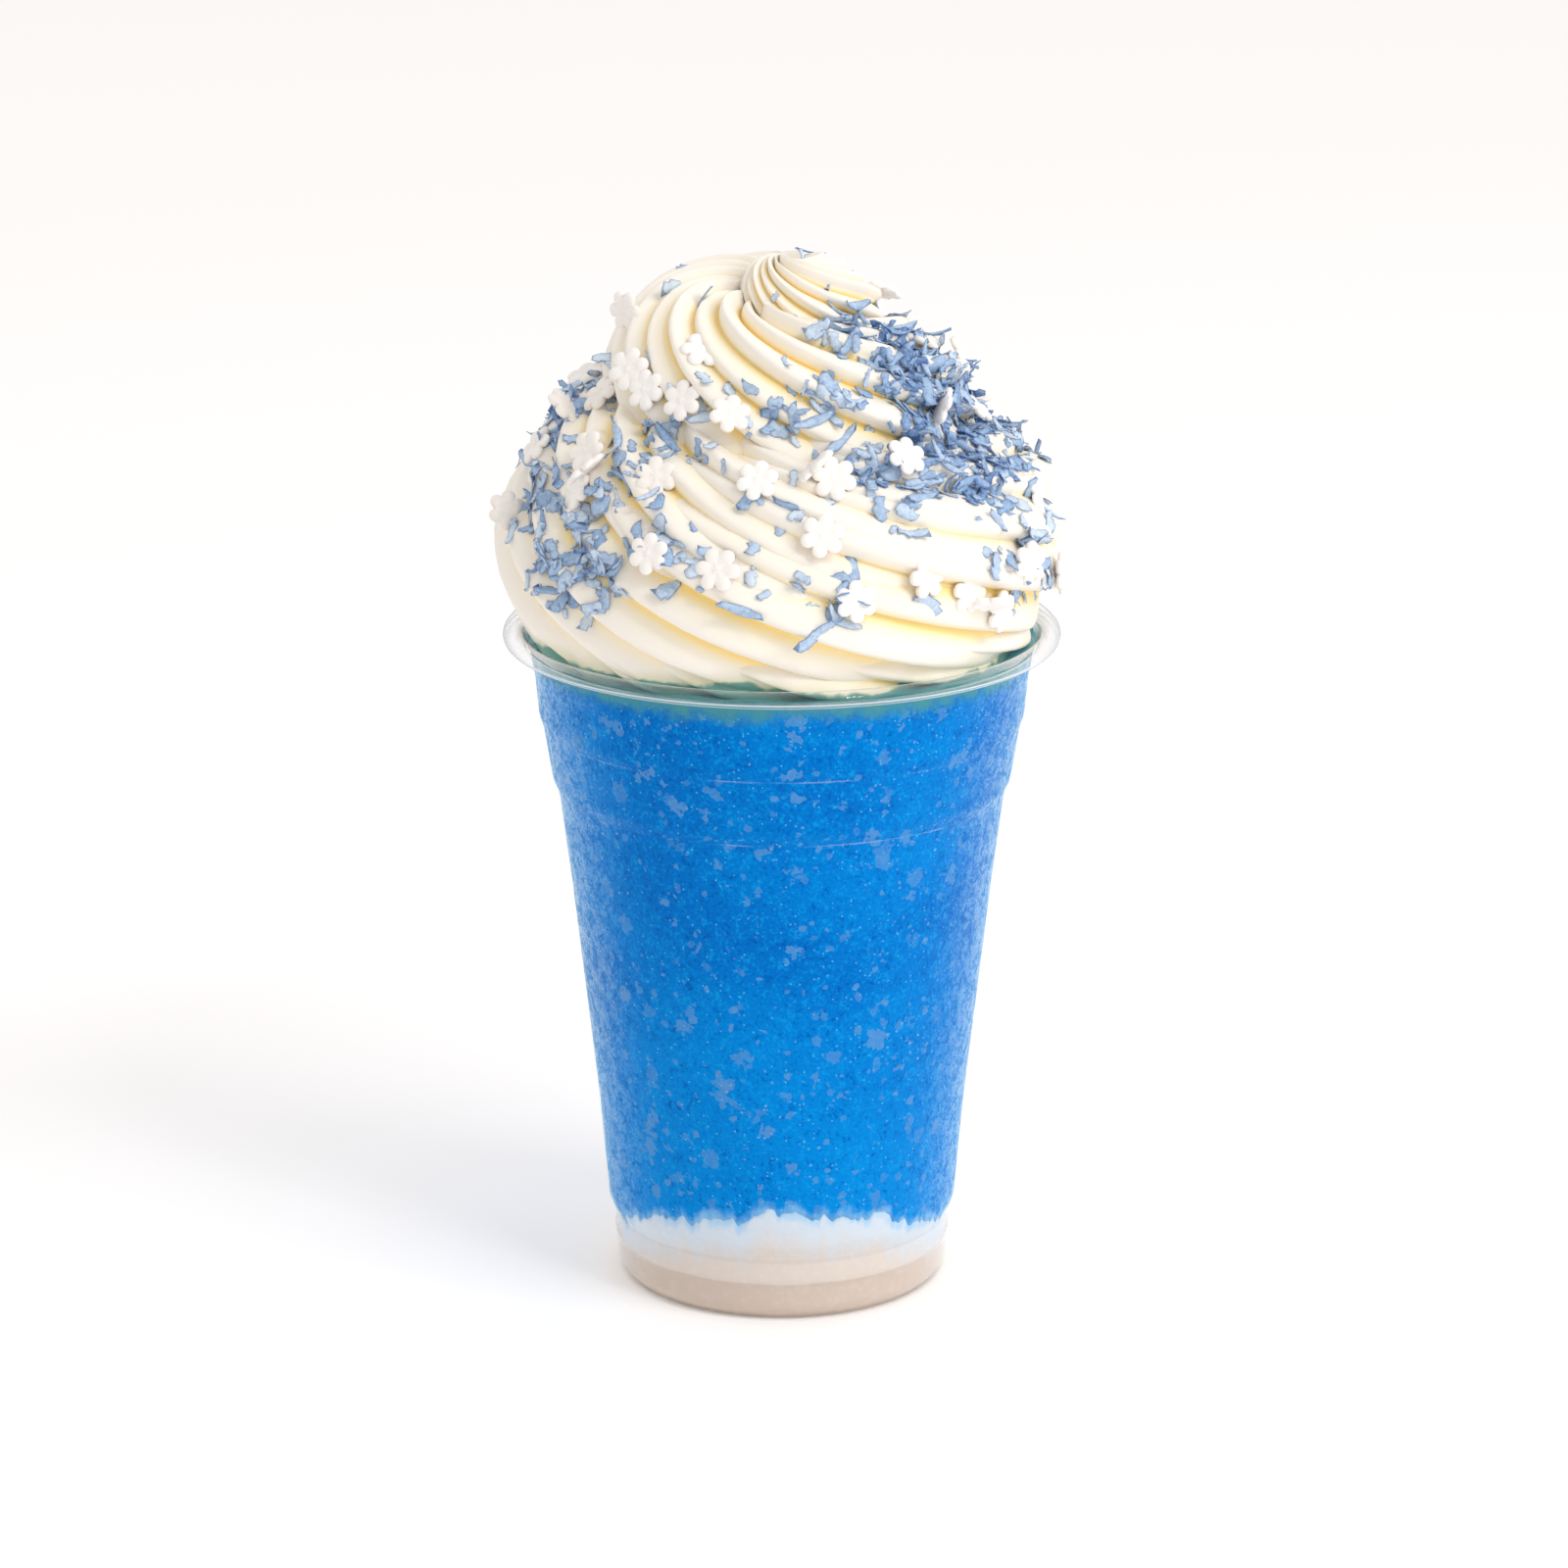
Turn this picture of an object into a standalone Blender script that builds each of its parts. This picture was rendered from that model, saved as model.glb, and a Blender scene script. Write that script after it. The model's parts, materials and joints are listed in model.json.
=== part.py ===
"""Frozen slush drink in a clear tapered cup.

A pale layer fills the foot of the cup, blue slush stands on it, and a piped swirl of cream
overfills the mouth. The swirl carries flower sprinkles and coconut flakes.
Metres, +Z up, the foot on z = 0 and the cup's axis on the origin. The front faces -Y.
"""

import math

import bmesh
import bpy
import numpy as np
from mathutils import Vector
from mathutils.bvhtree import BVHTree

# Units and the gap left between touching solids, in millimetres
MM = 0.001
GAP = 0.3
SEGMENTS = 44

# Cup
WALL = 0.7
PUNT_RADIUS = 24.0
PUNT_HEIGHT = 3.4
FOOT_INNER = 26.2
FOOT_OUTER = 28.5
FOOT_TOP = (30.3, 11.3)
BODY_BOTTOM = (31.5, 14.4)
BODY_LOW = (33.1, 33.0)
BODY_HIGH = (37.6, 73.0)
BODY_TOP = (39.7, 89.0)
STACK_STEP = (41.1, 92.0)
SHOULDER_BOTTOM = (42.4, 102.2)
SHOULDER_TOP = (43.3, 104.4)
LEDGE = (43.9, 112.4)
NECK = (44.8, 116.6)
RIM_RADIUS = 49.0
RIM_TOP = 120.0
MOUTH_RADIUS = 45.2

# Layers in the cup
INTERFACE_LOW = 12.0
INTERFACE_RISE = 9.0
SLUSH_TOP = 117.2

# Piped swirl: one rope that climbs clockwise as seen from above
LOBES = 15
RIDGE_DEPTH = 3.0
RIDGE_PARTS = (0.0, 0.22, 0.6)
TWIST_LEAD = 0.55
TURN_LEAD = 0.06
STATIONS = 28
CENTRE_HEIGHT = 138.0
CREAM_BOTTOM = SLUSH_TOP + GAP
PAD = (28.0, 122.0, 15.2)
CORE = ((38.0, CREAM_BOTTOM), (38.5, 122.0), (36.0, 140.0), (22.0, 156.0), (10.0, 171.0), (1.8, 184.2))
PIECES = ((-0.55, -0.2), (-0.28, 0.5), (0.42, 1.25), (1.17, 2.05), (1.97, 2.75))

# Quarter turns of the rope: path radius, height of its middle, radius of its section
ROPE_START = -1.0
ROPE = (
    (27.0, 135.0, 20.5),
    (27.3, 135.5, 21.0),
    (27.3, 135.5, 21.0),
    (27.5, 135.0, 21.0),
    (27.0, 136.0, 21.3),
    (26.5, 137.0, 20.8),
    (23.5, 143.5, 20.3),
    (19.5, 150.0, 19.0),
    (16.0, 155.0, 17.5),
    (15.5, 158.5, 17.0),
    (14.0, 163.5, 16.5),
    (10.5, 169.0, 13.8),
    (7.0, 172.5, 11.0),
    (4.0, 175.5, 8.8),
    (1.5, 179.5, 5.5),
    (0.3, 183.0, 2.2),
)

# Toppings
FLOWER_RADIUS = 3.85
FLOWER_NOTCH = 2.75
FLOWER_THICK = 1.7
FLOWERS = 30
FLAKES = 40
FLAKE_THICK = 1.0
SEED = 12
KEPT_SHARE = 0.7


def clear_scene():
    for thing in list(bpy.data.objects):
        bpy.data.objects.remove(thing, do_unlink=True)


def material(name, colour, roughness, alpha=1.0):
    made = bpy.data.materials.new(name)
    made.use_nodes = True
    shader = made.node_tree.nodes["Principled BSDF"]
    shader.inputs["Base Color"].default_value = (*colour, 1.0)
    shader.inputs["Roughness"].default_value = roughness
    shader.inputs["Alpha"].default_value = alpha
    made.diffuse_color = (*colour, alpha)
    return made


def mesh_object(name, points, faces, slot):
    """An object from points in millimetres."""
    mesh = bpy.data.meshes.new(name)
    mesh.from_pydata((np.asarray(points, float) * MM).tolist(), [], faces)
    mesh.materials.append(slot)
    mesh.validate()
    thing = bpy.data.objects.new(name, mesh)
    bpy.context.scene.collection.objects.link(thing)
    return thing


def azimuths(count=SEGMENTS):
    return np.arange(count) * 2 * math.pi / count


def ring(radius, height):
    """One ring of points. Radius and height are numbers or one value per azimuth."""
    turn = azimuths()
    radius = np.broadcast_to(radius, turn.shape)
    height = np.broadcast_to(height, turn.shape)
    return np.stack([radius * np.cos(turn), radius * np.sin(turn), height], axis=1)


def closed_rings(name, rings, slot):
    """Stacks rings from the bottom's middle, up the outside and in to the top's middle."""
    count = len(rings[0])
    middle_bottom = rings[0].mean(axis=0)
    middle_top = rings[-1].mean(axis=0)
    points = np.concatenate([*rings, [middle_bottom], [middle_top]])
    bottom = len(points) - 2
    top = len(points) - 1
    faces = []
    for i in range(count):
        j = (i + 1) % count
        faces.append((j, i, bottom))
        last = (len(rings) - 1) * count
        faces.append((last + i, last + j, top))
        for level in range(len(rings) - 1):
            low = level * count
            high = low + count
            faces.append((low + i, low + j, high + j, high + i))
    return mesh_object(name, points, faces, slot)


def outer_wall():
    """Outer wall of the cup, from the foot to the neck."""
    return [
        (FOOT_OUTER, 0.0),
        (29.6, 1.2),
        FOOT_TOP,
        BODY_BOTTOM,
        BODY_LOW,
        BODY_HIGH,
        BODY_TOP,
        STACK_STEP,
        SHOULDER_BOTTOM,
        SHOULDER_TOP,
        LEDGE,
        NECK,
    ]


def inner_radius(height):
    """Radius of the inner wall at a height."""
    radii, heights = zip(*outer_wall())
    return np.interp(height, heights, radii) - WALL


def rim():
    """The rolled bead, from under its outside over the top and into the mouth."""
    return [
        (47.9, 117.3),
        (RIM_RADIUS, 118.2),
        (RIM_RADIUS - 0.2, 119.3),
        (RIM_RADIUS - 1.2, RIM_TOP),
        (MOUTH_RADIUS + 1.0, RIM_TOP),
        (MOUTH_RADIUS, 119.2),
    ]


def build_cup(slot):
    """A thin wall turned about the axis, with a raised floor inside the foot ring."""
    floor = PUNT_HEIGHT + WALL
    outside = [(PUNT_RADIUS, PUNT_HEIGHT), (25.4, 0.7), (FOOT_INNER, 0.0), *outer_wall(), *rim()]
    inside = [(radius - WALL, height) for radius, height in reversed(outer_wall()[2:])]
    inside += [(28.8, 1.9), (28.2, 1.1), (FOOT_INNER, 1.1), (25.0, floor)]
    rings = [ring(radius, height) for radius, height in outside + inside]
    return closed_rings("cup", rings, slot)


def interface():
    """Height of the uneven line between the two layers at the wall, for each azimuth."""
    turn = azimuths()
    level = INTERFACE_LOW + INTERFACE_RISE * np.sin(turn) ** 2
    teeth = 0.8 * np.sin(7 * turn + 1.0) + 0.5 * np.sin(13 * turn + 2.0) + 0.4 * np.sin(19 * turn)
    return level + teeth


def build_base_layer(slot):
    floor = PUNT_HEIGHT + WALL + GAP
    top = interface() - GAP / 2
    knee = np.minimum(BODY_BOTTOM[1], top - 0.6)
    rings = [
        ring(25.15, floor),
        ring(26.5, 1.6),
        ring(27.9, 1.5),
        ring(28.35, 2.3),
        ring(inner_radius(FOOT_TOP[1] - 0.6) - GAP, FOOT_TOP[1] - 0.6),
        ring(inner_radius(knee) - GAP, knee),
        ring(inner_radius(top) - GAP, top),
        ring(20.0, 0.5 * (top + top.mean())),
    ]
    return closed_rings("base_layer", rings, slot)


def build_slush(slot):
    bottom = interface() + GAP / 2
    rings = [ring(20.0, 0.5 * (bottom + bottom.mean())), ring(inner_radius(bottom) - GAP, bottom)]
    knee = np.maximum(BODY_BOTTOM[1], bottom + 0.6)
    rings.append(ring(inner_radius(knee) - GAP, knee))
    levels = (BODY_LOW, BODY_HIGH, BODY_TOP, STACK_STEP, SHOULDER_BOTTOM, SHOULDER_TOP, LEDGE)
    for _, height in levels:
        rings.append(ring(inner_radius(height) - GAP, height))
    rings.append(ring(NECK[0] - WALL - GAP, NECK[1]))
    rings.append(ring(NECK[0] - WALL - GAP, SLUSH_TOP))
    return closed_rings("slush", rings, slot)


def rope_at(turns):
    """Path radius, height and section radius of the rope, smoothly between the quarter turns."""
    knots = np.array(ROPE)
    place = np.clip((turns - ROPE_START) * 4, 0, len(knots) - 1)
    left = np.clip(place.astype(int), 0, len(knots) - 2)
    part = (place - left)[..., None]
    before = knots[np.maximum(left - 1, 0)]
    start = knots[left]
    end = knots[left + 1]
    after = knots[np.minimum(left + 2, len(knots) - 1)]
    curve = 2 * start + (end - before) * part
    curve += (2 * before - 5 * start + 4 * end - after) * part**2
    curve += (3 * start - before - 3 * end + after) * part**3
    found = 0.5 * curve
    return found[..., 0], found[..., 1], found[..., 2]


def lobe_heights():
    """Ridge height for each point round a section: a groove, a crest above it, then a long slope."""
    crest = 0.65 + 0.7 * np.mod(np.arange(LOBES) * 0.618, 1.0)
    shape = np.array([0.0, 1.0, 0.5])
    return (crest[:, None] * shape[None]).ravel() - 0.6


def kept_clear(radius, height, order):
    """Flattens the underside and holds the cream clear of the rim. Each piece stops a little apart."""
    height = np.maximum(height, CREAM_BOTTOM + 0.17 * order)
    limit = MOUTH_RADIUS - 1.0 + np.maximum(0, height - RIM_TOP - 0.5) * 3
    return np.clip(radius, 0.3 + 0.11 * order, limit - 0.03 * order), height


def rope_piece(name, order, turns, sections, slot, closed=False):
    """A ridged tube. Its long lines follow the ridges, which keep still while the rope turns."""
    parts = (np.arange(LOBES)[:, None] + np.array(RIDGE_PARTS)[None]).ravel()
    heights = lobe_heights()
    rows = []
    for turn, (path, level, size) in zip(turns, sections):
        azimuth = -2 * math.pi * (turn - TURN_LEAD)
        lead = azimuth - TWIST_LEAD * math.sin(azimuth)
        angle = 2 * math.pi * parts / LOBES - lead
        reach = size + RIDGE_DEPTH * (size / 21.0) ** 0.6 * heights
        radius, height = path + reach * np.cos(angle), level + reach * np.sin(angle)
        radius, height = kept_clear(radius, height, order)
        rows.append(np.stack([radius * math.cos(azimuth), radius * math.sin(azimuth), height], axis=1))
    around = len(parts)
    count = len(rows)
    points = np.concatenate(rows)
    faces = []
    for row in range(count if closed else count - 1):
        here = row * around
        ahead = (row + 1) % count * around
        for i in range(around):
            j = (i + 1) % around
            faces.append((here + i, here + j, ahead + j))
            faces.append((here + i, ahead + j, ahead + i))
    if not closed:
        first, last = len(points), len(points) + 1
        points = np.concatenate([points, [rows[0].mean(axis=0)], [rows[-1].mean(axis=0)]])
        for i in range(around):
            j = (i + 1) % around
            faces.append((j, i, first))
            faces.append(((count - 1) * around + i, (count - 1) * around + j, last))
    return mesh_object(name, points, faces, slot)


def rope_pieces(slot):
    """The ridged pad that fills the mouth, and the rope wound up from it."""
    turns = np.arange(STATIONS) / STATIONS
    pieces = [rope_piece("pad", 1, turns, [PAD] * STATIONS, slot, closed=True)]
    for order, (start, end) in enumerate(PIECES, 2):
        turns = np.linspace(start, end, 1 + round((end - start) * STATIONS))
        path, level, size = rope_at(turns)
        size = size * (0.9 + 0.1 * np.clip((turns - start) / 0.07, 0, 1) + 0.005 * order)
        pieces.append(rope_piece("rope", order, turns, np.stack([path, level, size], axis=1), slot))
    return pieces


def skin_tree(pieces):
    corners, faces = [], []
    for piece in pieces:
        first = len(corners)
        corners += [vertex.co for vertex in piece.data.vertices]
        faces += [tuple(first + i for i in face.vertices) for face in piece.data.polygons]
    return BVHTree.FromPolygons(corners, faces)


def landing(tree, start, towards):
    """Where a line from outside meets the swirl, in millimetres."""
    found = tree.ray_cast(Vector(start * MM), Vector(towards))[0]
    return None if found is None else np.array(found) / MM


def frame_at(tree, azimuth, angle):
    """A place on the swirl and three directions there: two along the skin and one out of it."""
    middle = np.array([0.0, 0.0, CENTRE_HEIGHT])
    step = 0.09
    found = []
    for aside, above in ((0, 0), (step, 0), (-step, 0), (0, step), (0, -step)):
        turn, up = azimuth + aside, angle + above
        flat = math.cos(up)
        ray = np.array([flat * math.cos(turn), flat * math.sin(turn), math.sin(up)])
        found.append(landing(tree, middle + ray * 90.0, -ray))
    across = found[1] - found[2]
    rising = found[3] - found[4]
    out = np.cross(across, rising)
    out /= np.linalg.norm(out)
    across /= np.linalg.norm(across)
    return found[0], np.stack([across, np.cross(out, across), out])


def tilted(axes, spin, lean):
    """Turns three directions about the outward one, then leans them."""
    across, rising, out = axes
    side = across * math.cos(spin) + rising * math.sin(spin)
    ahead = np.cross(out, side)
    leant = ahead * math.cos(lean) + out * math.sin(lean)
    return np.stack([side, leant, np.cross(side, leant)])


def slab(name, outline, thick, middle, axes, slot):
    """A flat piece: the outline, in its own plane, given a thickness."""
    count = len(outline)
    flat = np.asarray(outline)
    low = middle + flat @ axes[:2] - axes[2] * thick / 2
    high = middle + flat @ axes[:2] + axes[2] * thick / 2
    faces = [tuple(reversed(range(count))), tuple(range(count, 2 * count))]
    for i in range(count):
        j = (i + 1) % count
        faces.append((i, j, count + j, count + i))
    return mesh_object(name, np.concatenate([low, high]), faces, slot)


def flower_outline(size):
    turn = np.arange(12) * math.pi / 6
    radius = np.where(np.arange(12) % 2 == 0, FLOWER_RADIUS, FLOWER_NOTCH) * size
    return np.stack([radius * np.cos(turn), radius * np.sin(turn)], axis=1)


def flake_outline(draw, long, wide):
    """A ragged five-sided flake."""
    turn = (np.arange(5) + draw.uniform(-0.25, 0.25, 5)) * 2 * math.pi / 5
    ragged = draw.uniform(0.8, 1.15, 5)
    return np.stack([long / 2 * ragged * np.cos(turn), wide / 2 * ragged * np.sin(turn)], axis=1)


def spread(draw, tree, count, spacing, crowded):
    """Places on the dome, no two nearer than the spacing. Crowded ones gather at the shoulders."""
    found = []
    while len(found) < count:
        azimuth = draw.uniform(-math.pi, math.pi)
        angle = math.asin(draw.uniform(-0.15, 0.93))
        side = math.cos(azimuth) ** 2 * math.exp(-(((angle - 0.45) / 0.4) ** 2))
        if draw.uniform() > (0.25 + side if crowded else 0.8):
            continue
        point, axes = frame_at(tree, azimuth, angle)
        if point[2] < RIM_TOP + 9:
            continue
        if all(np.linalg.norm(point - other) > spacing for other, _ in found):
            found.append((point, axes))
    return found


def build_toppings(pieces, slot):
    """Flowers first, then the flakes, longest first."""
    draw = np.random.default_rng(SEED)
    tree = skin_tree(pieces)
    made = []
    for point, axes in spread(draw, tree, FLOWERS, 9.5, False):
        turned = tilted(axes, draw.uniform(0, math.pi), draw.uniform(-0.2, 0.2))
        outline = flower_outline(draw.uniform(0.93, 1.05))
        made.append(slab("flower", outline, FLOWER_THICK, point + axes[2] * 0.5, turned, slot))
    lengths = np.sort(draw.uniform(3.2, 8.0, FLAKES))[::-1]
    for long, (point, axes) in zip(lengths, spread(draw, tree, FLAKES, 4.5, True)):
        turned = tilted(axes, draw.uniform(0, math.pi), draw.uniform(-0.25, 0.25))
        outline = flake_outline(draw, long, long * draw.uniform(0.35, 0.7))
        made.append(slab("flake", outline, FLAKE_THICK, point + axes[2] * 0.1, turned, slot))
    return made


def keep_skin(mesh):
    """Fills the pinholes that overlapping pieces enclose, and drops the slivers where they meet."""
    work = bmesh.new()
    work.from_mesh(mesh)
    unseen = set(work.verts)
    shells = []
    while unseen:
        shell = {unseen.pop()}
        edge = list(shell)
        while edge:
            near = {link.other_vert(vertex) for vertex in edge for link in vertex.link_edges}
            edge = list(near & unseen)
            unseen.difference_update(edge)
            shell.update(edge)
        shells.append(shell)
    shells.sort(key=len)
    for shell in shells[:-1]:
        bmesh.ops.delete(work, geom=list(shell), context="VERTS")
    work.to_mesh(mesh)
    work.free()


def thin(thing):
    """Collapses the shortest and flattest edges, which clears the slivers where pieces cross."""
    fewer = thing.modifiers.new("fewer", "DECIMATE")
    fewer.ratio = KEPT_SHARE
    fewer.use_collapse_triangulate = True
    bpy.context.view_layer.update()
    graph = bpy.context.evaluated_depsgraph_get()
    thinned = bpy.data.meshes.new_from_object(thing.evaluated_get(graph))
    thing.modifiers.clear()
    thing.data = thinned
    thing.data.name = thing.name
    drop_fins(thinned)


def drop_fins(mesh):
    """Removes single faces that stand on the skin by one edge."""
    work = bmesh.new()
    work.from_mesh(mesh)
    fins = [face for face in work.faces if any(edge.is_boundary for edge in face.edges)]
    bmesh.ops.delete(work, geom=fins, context="FACES")
    work.to_mesh(mesh)
    work.free()


def build_cream(slot):
    """A core, the rope round it and the toppings on it, united in one Boolean."""
    core = closed_rings("cream", [ring(radius, height) for radius, height in CORE], slot)
    pieces = rope_pieces(slot)
    pieces += build_toppings(pieces, slot)
    group = bpy.data.collections.new("pieces")
    bpy.context.scene.collection.children.link(group)
    for piece in pieces:
        bpy.context.scene.collection.objects.unlink(piece)
        group.objects.link(piece)
    join(core, group)


def join(thing, group):
    """Unites the collection with the object and applies it."""
    union = thing.modifiers.new("toppings", "BOOLEAN")
    union.operation = "UNION"
    union.operand_type = "COLLECTION"
    union.collection = group
    union.solver = "MANIFOLD"
    bpy.context.view_layer.update()
    graph = bpy.context.evaluated_depsgraph_get()
    united = bpy.data.meshes.new_from_object(thing.evaluated_get(graph))
    thing.modifiers.clear()
    thing.data = united
    thing.data.name = thing.name
    keep_skin(united)
    thin(thing)
    for piece in list(group.objects):
        bpy.data.objects.remove(piece, do_unlink=True)
    bpy.data.collections.remove(group)


def main():
    clear_scene()
    clear = material("cup_clear", (0.86, 0.88, 0.9), 0.12, 0.3)
    pale = material("pale_layer", (0.72, 0.66, 0.6), 0.45)
    blue = material("blue_slush", (0.0, 0.17, 0.6), 0.35)
    cream = material("cream", (0.93, 0.84, 0.62), 0.45)
    build_cup(clear)
    build_base_layer(pale)
    build_slush(blue)
    build_cream(cream)


main()
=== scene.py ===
# %% [markdown]
# # A frozen slush drink, finished in Blender
# The object is a clear tapered cup. A pale layer fills its foot, blue crushed ice stands on it,
# and a piped swirl of cream overfills the mouth, with flower sprinkles and coconut flakes on it.
# The solids are loaded first. Everything made here is in the same metres and the same place.

# %% Load the solids
import json
import math

import bpy
import numpy as np
from mathutils import Euler, Matrix, Vector
from mathutils.bvhtree import BVHTree

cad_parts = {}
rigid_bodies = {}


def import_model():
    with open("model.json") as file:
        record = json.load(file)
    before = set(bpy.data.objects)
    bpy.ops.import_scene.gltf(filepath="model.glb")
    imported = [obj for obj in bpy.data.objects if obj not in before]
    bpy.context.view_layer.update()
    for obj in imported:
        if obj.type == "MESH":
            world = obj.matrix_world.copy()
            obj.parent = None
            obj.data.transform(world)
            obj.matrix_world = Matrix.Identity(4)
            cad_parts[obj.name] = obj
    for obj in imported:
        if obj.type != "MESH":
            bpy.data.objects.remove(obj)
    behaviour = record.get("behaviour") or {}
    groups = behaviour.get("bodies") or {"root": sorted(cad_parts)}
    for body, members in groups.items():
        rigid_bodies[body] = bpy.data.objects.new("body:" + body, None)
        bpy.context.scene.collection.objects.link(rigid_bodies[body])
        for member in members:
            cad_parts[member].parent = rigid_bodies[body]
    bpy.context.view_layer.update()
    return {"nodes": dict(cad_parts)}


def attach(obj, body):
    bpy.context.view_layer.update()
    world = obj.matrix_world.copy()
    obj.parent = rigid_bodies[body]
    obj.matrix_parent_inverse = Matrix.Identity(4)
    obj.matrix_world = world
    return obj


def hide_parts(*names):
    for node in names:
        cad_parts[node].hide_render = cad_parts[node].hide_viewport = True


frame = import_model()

MM = 0.001
print("solids:", sorted(frame["nodes"]))

# %% [markdown]
# ## Camera
# The rim and the foot are circles, so the shape of their ellipses in the picture gives the
# camera: how far it looks down, how far away it stands and how long its lens is.

# %% Camera
PHOTO_SIZE = 1600
CAMERA_PLACE = (0.0004, -0.900, 0.3528)
CAMERA_DOWN = math.radians(16.263)
LENS = 121.47
SENSOR = 36.0

eye = bpy.data.cameras.new("camera")
eye.lens, eye.sensor_width = LENS, SENSOR
camera = bpy.data.objects.new("camera", eye)
camera.location = CAMERA_PLACE
camera.rotation_euler = (math.pi / 2 - CAMERA_DOWN, 0, 0)
bpy.context.scene.collection.objects.link(camera)
bpy.context.scene.camera = camera


def ray_through(x, y):
    """Direction from the camera through a point of the picture, in its pixels from the top left."""
    focal = LENS / SENSOR * PHOTO_SIZE
    half = PHOTO_SIZE / 2
    ahead = Vector(((x - half) / focal, (half - y) / focal, -1.0))
    return (Matrix.Rotation(math.pi / 2 - CAMERA_DOWN, 3, "X") @ ahead).normalized()


print("camera looks along", [round(v, 3) for v in ray_through(800, 800)])

# %% [markdown]
# ## Node graphs as sums
# Materials and shape trees are both graphs of nodes. A wrapper round a socket lets an
# expression such as `1 - mask * 0.5` add its Math nodes, so a rule can be read as a formula.

# %% A socket that can be added and multiplied
class Wire:
    """An output socket. Arithmetic on it adds Math nodes to its graph."""

    def __init__(self, graph, socket):
        self.graph, self.socket = graph, socket

    def __add__(self, other):
        return self.graph.maths("ADD", self, other)

    def __sub__(self, other):
        return self.graph.maths("SUBTRACT", self, other)

    def __rsub__(self, other):
        return self.graph.maths("SUBTRACT", other, self)

    def __mul__(self, other):
        return self.graph.maths("MULTIPLY", self, other)

    def __truediv__(self, other):
        return self.graph.maths("DIVIDE", self, other)

    def __rtruediv__(self, other):
        return self.graph.maths("DIVIDE", other, self)

    def __pow__(self, other):
        return self.graph.maths("POWER", self, other)

    __radd__ = __add__
    __rmul__ = __mul__


class Graph:
    """A node tree that hands out wires."""

    def __init__(self, tree):
        self.tree = tree

    def add(self, kind, settings=None, values=None, out=0):
        """Adds a node: its settings first, then the values or wires of its sockets."""
        node = self.tree.nodes.new(kind)
        for name, value in (settings or {}).items():
            if name == "curve":
                set_curve(node.mapping.curves[0], value)
                node.mapping.update()
            else:
                setattr(node, name, value)
        for name, value in (values or {}).items():
            socket = node.inputs[name]
            if isinstance(value, Wire):
                self.tree.links.new(value.socket, socket)
            else:
                socket.default_value = value
        return Wire(self, node.outputs[out]) if len(node.outputs) else node

    def maths(self, operation, *values):
        """One sum or function of numbers or wires."""
        return self.add("ShaderNodeMath", {"operation": operation}, dict(enumerate(values)))

    def vector(self, operation, *values):
        """The same for places and directions."""
        return self.add("ShaderNodeVectorMath", {"operation": operation}, dict(enumerate(values)))

    def join(self, x=0.0, y=0.0, z=0.0):
        """A vector from its three parts."""
        return self.add("ShaderNodeCombineXYZ", None, {0: x, 1: y, 2: z})

    def split(self, vector):
        """The three parts of a vector."""
        first = self.add("ShaderNodeSeparateXYZ", None, {0: vector})
        return [Wire(self, socket) for socket in first.socket.node.outputs]

    def smooth(self, value, low, high, start=0.0, end=1.0):
        """Passes smoothly from start to end while the value goes from low to high."""
        kind = {"interpolation_type": "SMOOTHSTEP"}
        ends = {"From Min": low, "From Max": high, "To Min": start, "To Max": end}
        return self.add("ShaderNodeMapRange", kind, {"Value": value, **ends})

    def fade(self, value, low, high):
        """Passes smoothly from 1 to 0 while the value goes from low to high."""
        return self.smooth(value, low, high, 1.0, 0.0)

    def line(self, value, level, core, end):
        """A soft line where the value is at a level: 1 within core of it, and 0 beyond end."""
        return self.fade(self.maths("ABSOLUTE", value - level), core, end)

    def mix(self, factor, first, second):
        """A colour between two colours."""
        kind = {"data_type": "RGBA", "clamp_factor": True}
        return self.add("ShaderNodeMix", kind, {0: factor, 6: first, 7: second}, out=2)


def set_curve(curve, points):
    """Gives the curve of a curve node its points."""
    while len(curve.points) < len(points):
        curve.points.new(1.0, 1.0)
    for point, place in zip(curve.points, points):
        point.location = place


# %% [markdown]
# ## Colours
# Colours are noted as they look on a screen and turned into the linear light that shaders use.

# %% Colour and material helpers
def linear(value):
    """The sRGB rule, for a screen value of 0 to 255."""
    if value <= 10.3:
        return value / 3294.6
    return ((value / 255 + 0.055) / 1.055) ** 2.4


def colour(red, green, blue):
    """Linear colour, with alpha 1, from screen values."""
    return (linear(red), linear(green), linear(blue), 1.0)


def new_material(name):
    """A material and its graph, with the surface left to the caller."""
    made = bpy.data.materials.new(name)
    made.use_nodes = True
    made.node_tree.nodes.clear()
    return made, Graph(made.node_tree)


def surface(graph, shader):
    """Ends a material, and prints how much it took."""
    graph.add("ShaderNodeOutputMaterial", None, {"Surface": shader})
    print("material of", len(graph.tree.nodes), "nodes")


def place_of(graph):
    """Object coordinates, in metres."""
    return graph.add("ShaderNodeTexCoord", out="Object")


def noise(graph, place, scale, detail=2.0, roughness=0.5):
    """A cloudy pattern about 0.5, with about `scale` clouds in a metre."""
    values = {"Vector": place, "Scale": scale, "Detail": detail, "Roughness": roughness}
    return graph.add("ShaderNodeTexNoise", None, values, out="Fac")


def cells(graph, place, scale):
    """Distance to the middle of the nearest cell, and that cell's random colour."""
    near = graph.add("ShaderNodeTexVoronoi", None, {"Vector": place, "Scale": scale})
    return near, Wire(graph, near.socket.node.outputs["Color"])


def attribute(graph, name):
    """A number that the mesh keeps for each point."""
    return graph.add("ShaderNodeAttribute", {"attribute_name": name}, out="Fac")


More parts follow.
